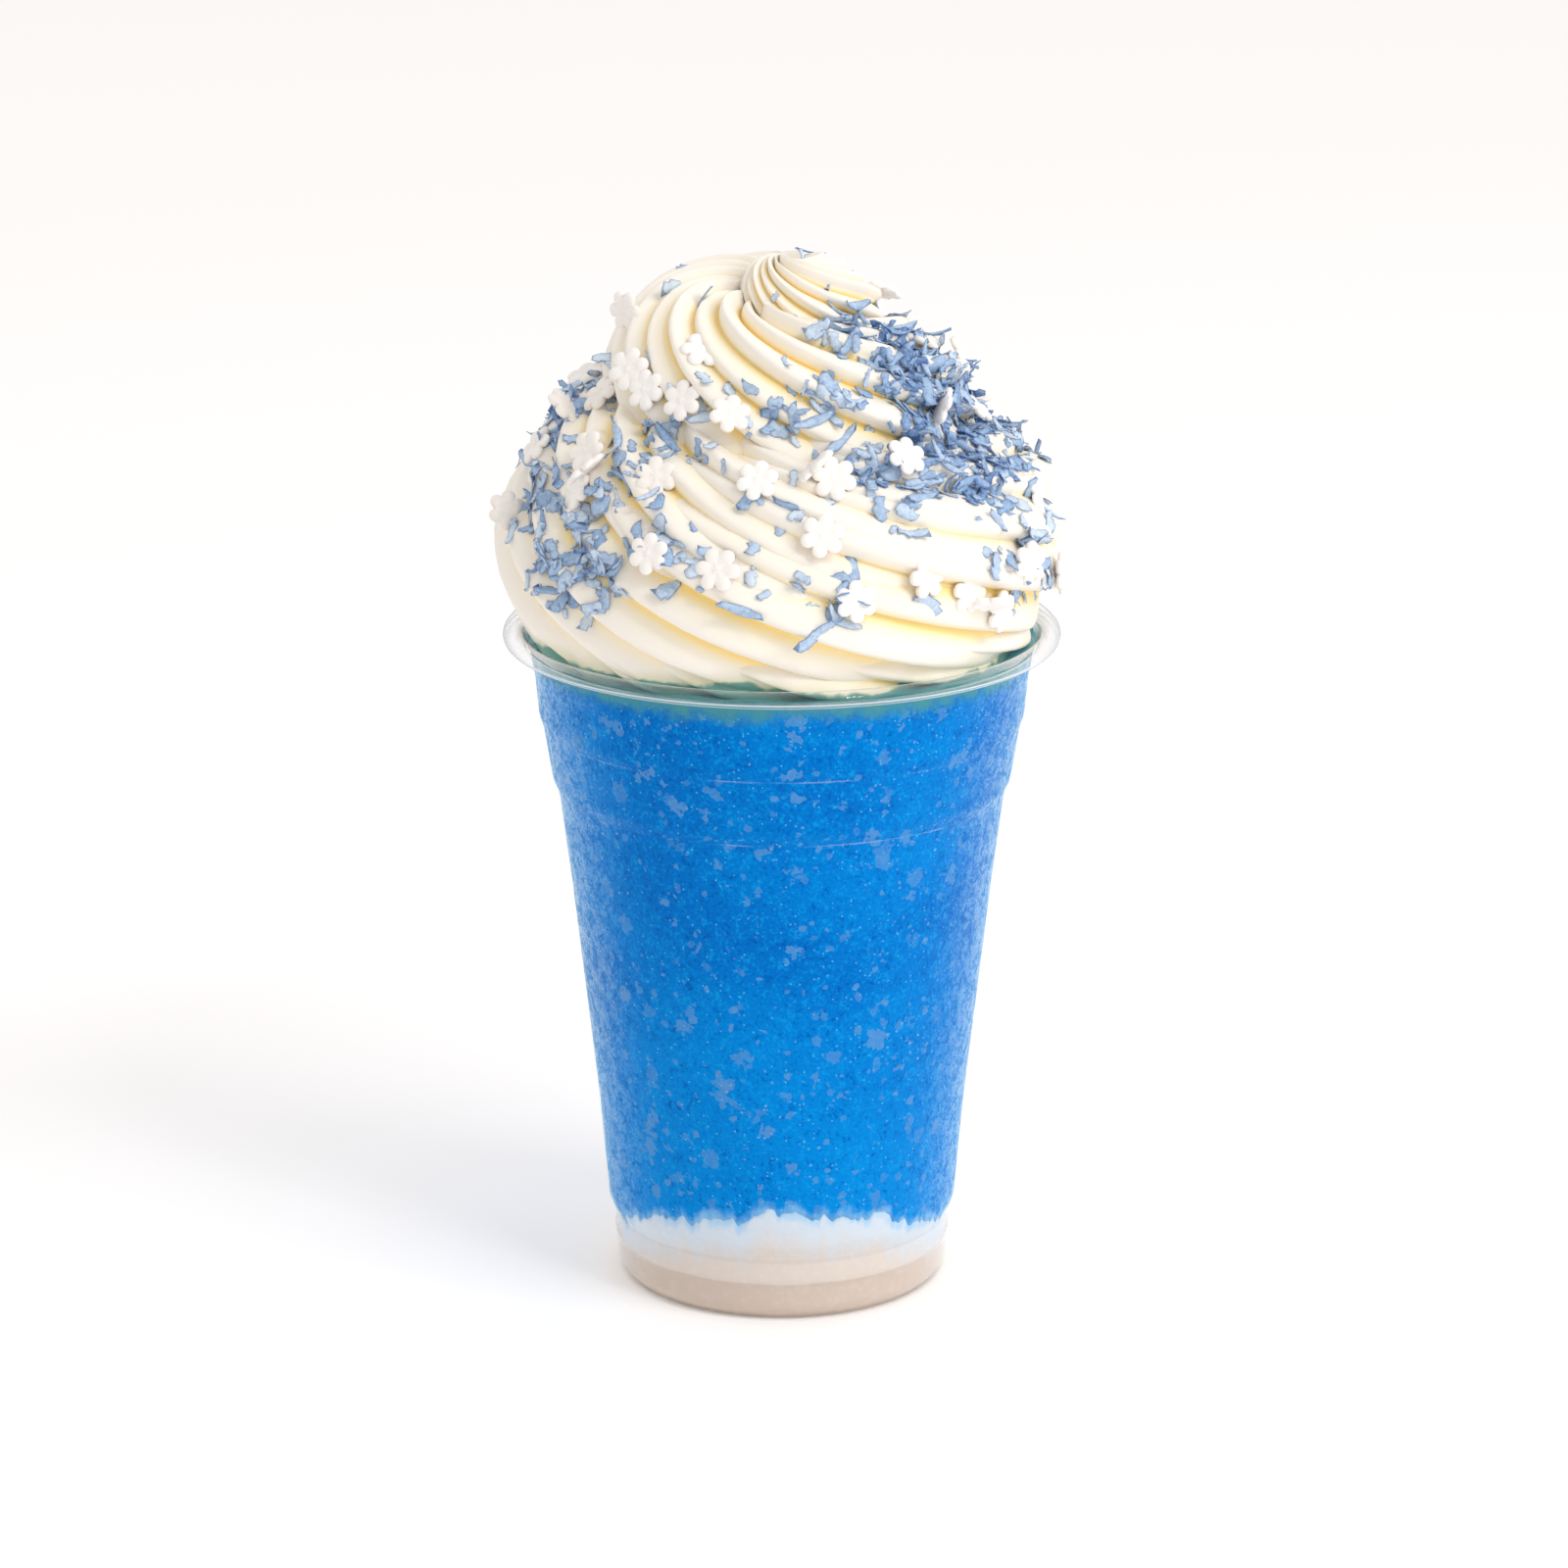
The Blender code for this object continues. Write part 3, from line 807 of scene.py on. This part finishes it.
# Painted bounce light: gold in the grooves, by ridge height
glow = graph.fade(high + (cloud - 0.5) * 0.4, 0.0, 0.42)
tone = graph.mix(graph.smooth(high, 0.2, 0.8), colour(249, 238, 212), colour(246, 239, 228))
tone = graph.mix(glow * 0.9, tone, colour(255, 221, 128))
sunk = graph.fade(z + (cloud - 0.5) * 0.014, 0.1175, 0.1225)
tone = graph.mix(sunk * 0.65, tone, colour(210, 208, 156))
edge = noise(graph, place, 240, 3)
wet = graph.fade(z + (cloud - 0.5) * 0.009 + (edge - 0.5) * 0.003, 0.1185, 0.1193)
tone = graph.mix(wet * 0.92, tone, colour(86, 150, 144))
surface(graph, opaque(graph, tone, 0.4 + 0.12 * cloud, bumped(graph, fine, 0.12)))

# %% Cream swirl
cream = run_tree(
    "cream_swirl",
    rope_tree,
    {
        "Ridges": float(LOBES), "Ridge depth": RIDGE_DEPTH,
        "First turn": FIRST_TURN, "Last turn": LAST_TURN,
        "Twist lead": TWIST_LEAD, "Turn lead": TURN_LEAD,
        "Points round": LOBES * POINTS_PER_LOBE + 1,
        "Stations": round((LAST_TURN - FIRST_TURN) * STATIONS_PER_TURN),
        "Underside": SLUSH_TOP - 0.6, "Mouth radius": MOUTH_RADIUS, "Rim top": RIM_TOP,
        "Seed": 5, "Finish": cream_finish,
    },
)


def volume(piece):
    """Signed volume in cubic centimetres: positive when the faces point outwards."""
    piece.data.calc_loop_triangles()
    points = np.array([vertex.co for vertex in piece.data.vertices]) * 100
    corners = np.array([face.vertices for face in piece.data.loop_triangles])
    a, b, c = (points[corners[:, i]] for i in range(3))
    return float(np.einsum("ij,ij->i", a, np.cross(b, c)).sum() / 6)


if volume(cream) < 0:
    cream.data.flip_normals()
print("cream:", triangles(cream), "triangles,", round(volume(cream)), "cubic centimetres")

# %% [markdown]
# ## Where the toppings land
# Sprinkles fall on the cream from outside, so a place is found by sending a line at the
# swirl and taking where it meets it. Those that show at the front are aimed from the
# camera, through the point of the picture where each one is seen.

# %% Landing places
CREAM_MIDDLE = Vector((0, 0, 0.138))
DROP_FROM = 0.12
# A flower bridges the ridges, so it lies as the cream does over this reach
FEEL_REACH, FEEL_FROM, FEEL_LINES = 0.0035, 0.02, 8
faces = [tuple(face.vertices) for face in cream.data.polygons]
skin = BVHTree.FromPolygons([vertex.co for vertex in cream.data.vertices], faces)


def smooth_normal(point):
    """Which way the cream faces there, over a few millimetres, with the ridges evened out."""
    out = (point - CREAM_MIDDLE).normalized()
    side = out.cross(Vector((0, 0, 1))).normalized()
    up = side.cross(out)
    total = out * 0.6
    for i in range(FEEL_LINES):
        a = i * 2 * math.pi / FEEL_LINES
        start = point + (side * math.cos(a) + up * math.sin(a)) * FEEL_REACH + out * FEEL_FROM
        _, normal, _, _ = skin.ray_cast(start, -out)
        if normal is not None:
            total += normal if normal.dot(out) > 0 else -normal
    return total.normalized()


AXIS_IN_PICTURE = 797.7


def seen_at(x, y):
    """Where the picture's point x, y falls on the cream, or the cream's edge beside it."""
    hit = None
    while hit is None:
        hit, _, _, _ = skin.ray_cast(Vector(CAMERA_PLACE), ray_through(x, y))
        x += 2 if x < AXIS_IN_PICTURE else -2
    return hit


def dropped(turn, rise):
    """Where a line towards the middle of the cream first meets it, by azimuth and angle up."""
    out = Vector((math.cos(rise) * math.cos(turn), math.cos(rise) * math.sin(turn), math.sin(rise)))
    hit, _, _, _ = skin.ray_cast(CREAM_MIDDLE + out * DROP_FROM, -out)
    return hit


# %% [markdown]
# ## Flower sprinkles
# Pressed sugar, six round petals, a little thicker in the middle, just under 8 mm across.
# One flower is modelled with few faces and a tree copies it to every place.

# %% One flower
FLOWER_RADIUS = 3.8
PETALS = 6
PETAL_RADIUS = 1.3
PETAL_MIDDLE = FLOWER_RADIUS - PETAL_RADIUS
BOSS_TOP, BACK = 0.55, -0.62
# Rings of points: shares of the outline's radius on the domed face, then (share, height) behind
FACE_RINGS = (0.14, 0.26, 0.42, 0.58, 0.74, 0.88, 0.97)
BACK_RINGS = ((1.0, -0.1), (0.96, -0.5), (0.5, BACK))


def flower_mesh(steps=48):
    """Round petals about a small boss, each domed, with a flat back."""
    turn = np.arange(steps) * 2 * math.pi / steps
    share = 2 * math.pi / PETALS
    off = (turn + share / 2) % share - share / 2
    edge = PETAL_MIDDLE * np.cos(off) + np.sqrt(PETAL_RADIUS**2 - (PETAL_MIDDLE * np.sin(off)) ** 2)

    def ring_of(radius, level):
        level = np.broadcast_to(level, turn.shape)
        return list(zip(radius * np.cos(turn), radius * np.sin(turn), level))

    points = [(0, 0, BOSS_TOP)]
    for part in FACE_RINGS:
        r = edge * part
        apart = np.sqrt(r**2 + PETAL_MIDDLE**2 - 2 * r * PETAL_MIDDLE * np.cos(off))
        boss = 0.16 if part == FACE_RINGS[0] else 0.0
        points += ring_of(r, 0.34 + 0.3 * np.exp(-(apart**2)) + boss - 0.3 * part**12)
    for part, level in BACK_RINGS:
        points += ring_of(part * edge, level)
    points.append((0, 0, BACK))
    rings = (len(points) - 2) // steps
    faces = []
    for i in range(steps):
        j = (i + 1) % steps
        faces.append((0, 1 + i, 1 + j))
        for ring in range(rings - 1):
            low, high = 1 + ring * steps, 1 + (ring + 1) * steps
            faces.append((low + j, low + i, high + i, high + j))
        last = 1 + (rings - 1) * steps
        faces.append((len(points) - 1, last + j, last + i))
    return np.array(points) * MM, faces


sugar, graph = new_material("sugar_flower")
place = place_of(graph)
chalk = noise(graph, place, 1400, 3)
tint = attribute(graph, "tint")
tone = graph.mix(tint, colour(252, 249, 246), colour(242, 235, 228))
tone = graph.mix((chalk - 0.45) * 0.5, tone, colour(216, 205, 198))
surface(graph, opaque(graph, tone, 0.6, bumped(graph, chalk, 0.25)))

flower = mesh_piece("flower_shape", *flower_mesh(), sugar)
print("one flower:", triangles(flower), "triangles")

# %% Flower places
FLOWERS_SEEN = (
    (717, 361), (645, 380), (617, 404), (662, 400), (698, 410), (745, 424), (602, 463), (592, 500),
    (672, 490), (774, 492), (851, 490), (923, 467), (992, 418), (839, 547), (1055, 508), (664, 567),
    (733, 582), (872, 614), (943, 588), (986, 602), (1045, 575), (1018, 622),
)
FLOWERS_ON_EDGE = ((592, 420), (606, 484), (829, 486), (950, 425), (1000, 612), (533, 522))
FLOWERS_AROUND = 27
FLOWER_SPACING = 0.0085
LOWEST_FLOWER = 0.129
FLAT_LEAN = 0.22
EDGE_LEAN = (0.9, 1.25)
ROLL = 0.15
FLAT_LIFT, EDGE_LIFT = 0.0008, 0.0020
FLOWER_SIZES = (0.95, 1.06)
# Round the back: azimuths, sines of the angle up, and how far a flower may lean
BACK_TURNS = (-0.35, math.pi + 0.35)
BACK_RISES = (-0.12, 0.93)
BACK_LEANS = (0.0, 0.0, 0.15, -0.2, 0.9)
draw = np.random.default_rng(21)
flower_places = []


def add_flower(point, lean):
    """Keeps a place and how a flower lies there: level with the cream, or leaning."""
    out = smooth_normal(point)
    spin = Euler((lean, draw.uniform(-ROLL, ROLL), draw.uniform(0, 2 * math.pi))).to_matrix()
    outward = out.to_track_quat("Z", "Y").to_matrix()
    lie = outward @ Matrix.Rotation(draw.uniform(0, 6.3), 3, "Z") @ spin
    lift = FLAT_LIFT + EDGE_LIFT * abs(math.sin(lean))
    flower_places.append((point + out * lift, lie.to_euler(), draw.uniform(*FLOWER_SIZES)))


for x, y in FLOWERS_SEEN:
    add_flower(seen_at(x, y), draw.uniform(-FLAT_LEAN, FLAT_LEAN))
for x, y in FLOWERS_ON_EDGE:
    add_flower(seen_at(x, y), draw.uniform(*EDGE_LEAN))
while len(flower_places) < len(FLOWERS_SEEN) + len(FLOWERS_ON_EDGE) + FLOWERS_AROUND:
    turn, rise = draw.uniform(*BACK_TURNS), math.asin(draw.uniform(*BACK_RISES))
    point = dropped(turn, rise)
    free = all((point - other).length > FLOWER_SPACING for other, _, _ in flower_places)
    if point.z > LOWEST_FLOWER and free:
        add_flower(point, draw.choice(BACK_LEANS))
print("flowers:", len(flower_places))

# %% Copying tree
graph, given = new_tree("copies", {"Shape": "object", "Finish": "material", "Seed": "count"})
shape = graph.add(
    "GeometryNodeObjectInfo",
    {"transform_space": "ORIGINAL"},
    {"Object": given["Shape"]},
    out="Geometry",
)
points = graph.add("GeometryNodeMeshToPoints", None, {"Mesh": given["Geometry"]})
lie = graph.add("FunctionNodeEulerToRotation", None, {0: named(graph, "lie", "FLOAT_VECTOR")})
copies = graph.add(
    "GeometryNodeInstanceOnPoints",
    None,
    {"Points": points, "Instance": shape, "Rotation": lie, "Scale": named(graph, "size")},
)
chance = random_number(graph, 0.0, 1.0, given["Seed"])
finish_tree(graph, keep(graph, copies, "tint", chance, "INSTANCE"), given["Finish"])

spots = bpy.data.meshes.new("flower_places")
spots.from_pydata([place for place, _, _ in flower_places], [], [])
store(spots, "lie", [tuple(lean) for _, lean, _ in flower_places], "FLOAT_VECTOR")
store(spots, "size", [size for _, _, size in flower_places])
flowers = run_tree("flower_sprinkles", graph, {"Shape": flower, "Finish": sugar, "Seed": 2}, spots)
bpy.data.objects.remove(flower)
print("flower sprinkles:", triangles(flowers), "triangles")

# %% [markdown]
# ## Coconut flakes
# Thin dyed shavings with torn edges, some curled. A dozen shapes are modelled, a tree scatters them
# over the cream, thickest on the shoulders of the swirl, and gives each a tint. Where they crowd
# they are painted darker, a painted shade for the shadows between piled flakes.

# %% Flake shapes
FLAKE_SHAPES = 12
THICKNESS = 0.14
# Millimetres: every fifth shape is a curled strip, the others are broad scraps
STRIP_LENGTHS, STRIP_WIDTH, STRIP_CURLS = (4.5, 6.5), 1.7, (0.2, 1.0)
SCRAP_LENGTHS, SCRAP_WIDTHS, SCRAP_CURLS = (2.6, 4.4), (2.1, 3.2), (-0.3, 0.5)


def flake_mesh(draw, long, wide, curl):
    """A torn scrap with ragged sides, bent along its length, with a little thickness."""
    steps = 6
    lean = np.cumsum(draw.uniform(-0.16, 0.16, steps + 1)) * wide
    left, right = draw.uniform(0.5, 1.2, (2, steps + 1)) * wide / 2
    points, rims = [], []
    for side in (1, -1):
        for i in range(steps + 1):
            along = i / steps - 0.5
            blunt = 1 - 0.25 * (2 * abs(along)) ** 6
            for j, reach in ((-1, -left[i]), (0, 0.0), (1, right[i])):
                x = along * long + (i * 5 + j * 3) % 4 * 0.045 * long - 0.07 * long
                y = lean[i] + reach * blunt
                level = curl * (2 * along) ** 2 + side * THICKNESS / 2 - abs(j) * curl * 0.3
                points.append((x, y, level))
                rims.append(float(j != 0 or i in (0, steps)))
    layer_size = 3 * (steps + 1)
    faces = []
    for i in range(steps):
        for j in range(2):
            a = i * 3 + j
            b = layer_size + a
            faces.append((a, a + 3, a + 4, a + 1))
            faces.append((b, b + 1, b + 4, b + 3))
    loop = [i * 3 for i in range(steps + 1)] + [steps * 3 + 1]
    loop += [i * 3 + 2 for i in range(steps, -1, -1)] + [1]
    for a, b in zip(loop, loop[1:] + loop[:1]):
        faces.append((b, a, layer_size + a, layer_size + b))
    return np.array(points) * MM, faces, rims


coconut, graph = new_material("coconut_flake")
place = place_of(graph)
tint = attribute(graph, "tint")
edge = attribute(graph, "torn_edge")
crowd_shade = attribute(graph, "crowd")
mottle = noise(graph, place, 1500, 3, 0.6)
# Tint and mottle are the flakes' own colour; the crowd term is painted shade, darker where flakes
# pile up
dye_and_shade = 0.7 * tint + 0.45 * crowd_shade + (mottle - 0.5) * 1.1
tone = graph.mix(graph.smooth(dye_and_shade, 0.0, 0.85), colour(212, 226, 240), colour(148, 178, 213))
tone = graph.mix(graph.smooth(dye_and_shade, 0.75, 1.25) * 0.85, tone, colour(70, 104, 164))
tone = graph.mix(graph.smooth(edge, 0.82, 1.0) * 0.6, tone, colour(80, 112, 166))
surface(graph, opaque(graph, tone, 0.5, bumped(graph, mottle, 0.3)))

draw = np.random.default_rng(33)
shapes = bpy.data.collections.new("flake_shapes")
bpy.context.scene.collection.children.link(shapes)
for number in range(FLAKE_SHAPES):
    if number % 5 == 0:
        long, wide, curl = draw.uniform(*STRIP_LENGTHS), STRIP_WIDTH, draw.uniform(*STRIP_CURLS)
    else:
        long, wide = draw.uniform(*SCRAP_LENGTHS), draw.uniform(*SCRAP_WIDTHS)
        curl = draw.uniform(*SCRAP_CURLS)
    points, faces, rims = flake_mesh(draw, long, wide, curl)
    flake = mesh_piece(f"flake_{number}", points, faces, coconut, smooth=False)
    store(flake.data, "torn_edge", rims)
    bpy.context.scene.collection.objects.unlink(flake)
    shapes.objects.link(flake)
print("flake shapes:", len(shapes.objects), "of", triangles(flake), "triangles")

# %% Where flakes gather
# Where they are thick: the picture's x and y, spread in millimetres, share of the full density
CROWDS = (
    (575, 425, 8, 1.0), (560, 500, 7, 0.5), (590, 560, 7, 0.7), (640, 480, 6, 0.6),
    (620, 590, 6, 0.3), (680, 540, 7, 0.35), (900, 345, 8, 0.9), (950, 395, 8, 1.0),
    (1010, 420, 9, 1.0), (950, 462, 9, 1.0), (1000, 470, 8, 1.0), (890, 490, 6, 0.9),
    (800, 420, 6, 0.3), (1060, 570, 6, 0.5), (790, 520, 5, 0.35), (700, 440, 7, 0.3),
    (850, 600, 6, 0.25), (750, 580, 6, 0.25), (550, 610, 6, 0.5), (860, 420, 5, 0.4),
)
# The same at the back, by azimuth and angle up in radians
BACK_CROWDS = (
    (0.6, 0.5, 13, 0.9), (1.5, 0.75, 14, 0.8), (2.4, 0.35, 13, 0.9),
    (1.0, 0.15, 12, 0.4), (2.0, 0.1, 12, 0.5),
)
ANYWHERE = 0.011
FLAKES_FROM, FLAKES_BLUR = 0.124, 0.008
centres = [(seen_at(x, y), spread * MM, much) for x, y, spread, much in CROWDS]
for turn, rise, spread, much in BACK_CROWDS:
    centres.append((dropped(turn, rise), spread * MM, much))
points = np.array([vertex.co for vertex in cream.data.vertices])
crowd = np.full(len(points), ANYWHERE)
for centre, spread, much in centres:
    distance = np.linalg.norm(points - np.array(centre), axis=1)
    crowd += much * np.exp(-((distance / spread) ** 2))
crowd *= np.clip((points[:, 2] - FLAKES_FROM) / FLAKES_BLUR, 0, 1)
store(cream.data, "crowd", np.clip(crowd, 0, 1))
print("flakes gather at", len(centres), "places")

# %% Scattering tree
FLAKE_DENSITY = 420000.0
FLAKE_SPACING = 0.0009
FLAKE_LIFT = 0.0003
FLAKE_LEAN = 0.28
FLAKE_SIZES = (0.4, 1.3)
COVER_START, COVER_REACH = 0.0006, 0.09
graph, given = new_tree(
    "scattered_flakes",
    {
        "Shapes": "group", "Spacing": "number", "Density": "number", "Seed": "count",
        "Middle height": "number", "Finish": "material",
    },
)
scatter = graph.add(
    "GeometryNodeDistributePointsOnFaces",
    {"distribute_method": "POISSON"},
    {
        "Mesh": given["Geometry"], "Distance Min": given["Spacing"], "Seed": given["Seed"],
        "Density Max": given["Density"], "Density Factor": named(graph, "crowd"),
    },
)
facing = Wire(graph, scatter.socket.node.outputs["Rotation"])
here = graph.add("GeometryNodeInputPosition")
middle = graph.join(z=given["Middle height"])
outward = graph.vector("NORMALIZE", graph.vector("SUBTRACT", here, middle))
# A flake is left out where more cream lies over it
covered = graph.add(
    "GeometryNodeRaycast",
    None,
    {
        "Target Geometry": given["Geometry"], "Ray Direction": outward,
        "Source Position": graph.vector("MULTIPLY_ADD", outward, (COVER_START,) * 3, here),
        "Ray Length": COVER_REACH,
    },
)
showing = graph.add(
    "GeometryNodeDeleteGeometry", {"domain": "POINT"}, {"Geometry": scatter, "Selection": covered}
)
leans = {0: (-FLAKE_LEAN, -FLAKE_LEAN, 0.0), 1: (FLAKE_LEAN, FLAKE_LEAN, 6.28)}
spin = graph.add(
    "FunctionNodeRandomValue", {"data_type": "FLOAT_VECTOR"}, {**leans, "Seed": given["Seed"]}
)
lie = graph.add("FunctionNodeRotateRotation", {"rotation_space": "LOCAL"}, {0: facing, 1: spin})
size = random_number(graph, *FLAKE_SIZES, given["Seed"] + 1)
group = graph.add(
    "GeometryNodeCollectionInfo",
    None,
    {"Collection": given["Shapes"], "Separate Children": True, "Reset Children": True},
)
lift = graph.vector("MULTIPLY", outward, (FLAKE_LIFT,) * 3)
raised = graph.add("GeometryNodeSetPosition", None, {"Geometry": showing, "Offset": lift})
copies = graph.add(
    "GeometryNodeInstanceOnPoints",
    None,
    {"Points": raised, "Instance": group, "Pick Instance": True, "Rotation": lie, "Scale": size},
)
chance = random_number(graph, 0.0, 1.0, 9)
finish_tree(graph, keep(graph, copies, "tint", chance, "INSTANCE"), given["Finish"])
flakes = run_tree(
    "coconut_flakes",
    graph,
    {
        "Shapes": shapes, "Spacing": FLAKE_SPACING, "Density": FLAKE_DENSITY, "Seed": 4,
        "Middle height": CREAM_MIDDLE.z, "Finish": coconut,
    },
    cream.data.copy(),
)
for flake in list(shapes.objects):
    bpy.data.objects.remove(flake)
bpy.data.collections.remove(shapes)
print("flakes:", triangles(flakes), "triangles")

# %% [markdown]
# ## Floor and light
# A bright studio with a pale floor. The world is white behind the object and dimmer in
# front, dimmest in mirrors, so the cup mirrors white only at its edges. One soft light
# stands to the right, and a small one only gives the rim its glints.

# %% Floor
floor_paint, graph = new_material("studio_floor")
diffuse = graph.add("ShaderNodeBsdfDiffuse", None, {"Color": (0.90, 0.885, 0.88, 1)})
lift = graph.add("ShaderNodeEmission", None, {"Color": (1.0, 0.985, 0.975, 1), "Strength": 0.16})
surface(graph, graph.add("ShaderNodeAddShader", None, {0: diffuse, 1: lift}))
FLOOR_CORNERS = ((-3, -2, 0), (3, -2, 0), (3, 4, 0), (-3, 4, 0))
floor = mesh_piece("floor", FLOOR_CORNERS, [(0, 1, 2, 3)], floor_paint)

# %% Lights
FRONT_STRENGTH, MIRRORED_LESS = 0.74, 0.60
LIGHTS_AIM = (0, 0, 0.1)
WARM_WHITE = (1.0, 0.988, 0.976, 1)

world = bpy.data.worlds.new("studio")
bpy.context.scene.world = world
world.use_nodes = True
world.node_tree.nodes.clear()
graph = Graph(world.node_tree)
_, forward, _ = graph.split(graph.add("ShaderNodeTexCoord", out="Generated"))
mirrored = graph.add("ShaderNodeLightPath", out="Is Glossy Ray")
strength = graph.smooth(forward, -0.12, 0.06, 0.0, 1.0)
strength = graph.maths("MAXIMUM", strength, FRONT_STRENGTH - MIRRORED_LESS * mirrored)
seen = graph.add("ShaderNodeLightPath", out="Is Camera Ray")
strength = graph.maths("MAXIMUM", strength, seen)
sky = graph.add("ShaderNodeBackground", None, {"Color": WARM_WHITE, "Strength": strength})
graph.add("ShaderNodeOutputWorld", None, {"Surface": sky})


def soft_light(name, place, size, watts, tint, mirrored):
    """A square lamp aimed at the object, which mirrors may show or not."""
    lamp = bpy.data.lights.new(name, "AREA")
    lamp.size, lamp.energy, lamp.color = size, watts, tint
    lamp_object = bpy.data.objects.new(name, lamp)
    lamp_object.location = place
    aim = Vector(LIGHTS_AIM) - Vector(place)
    lamp_object.rotation_euler = aim.to_track_quat("-Z", "Y").to_euler()
    lamp_object.visible_glossy = mirrored
    bpy.context.scene.collection.objects.link(lamp_object)


soft_light("key", (0.95, -0.6, 0.85), 0.6, 6.2, (1.0, 0.995, 0.985), False)
soft_light("rim_glint", (0.35, -0.5, 0.75), 0.12, 1.0, (1, 1, 1), True)
bpy.context.scene.view_settings.view_transform = "Standard"

# %% [markdown]
# ## Hand over
# Each piece rides on the one body and stands for its solid.
# The toppings belong to the cream.

# %% Hand over
for piece, node, slot in (
    (cup, "cup", "cup_clear"),
    (base_layer, "base_layer", "pale_layer"),
    (slush, "slush", "blue_slush"),
    (cream, "cream", "cream"),
    (flowers, "cream", "cream"),
    (flakes, "cream", "cream"),
):
    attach(piece, "root")
    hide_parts(node)
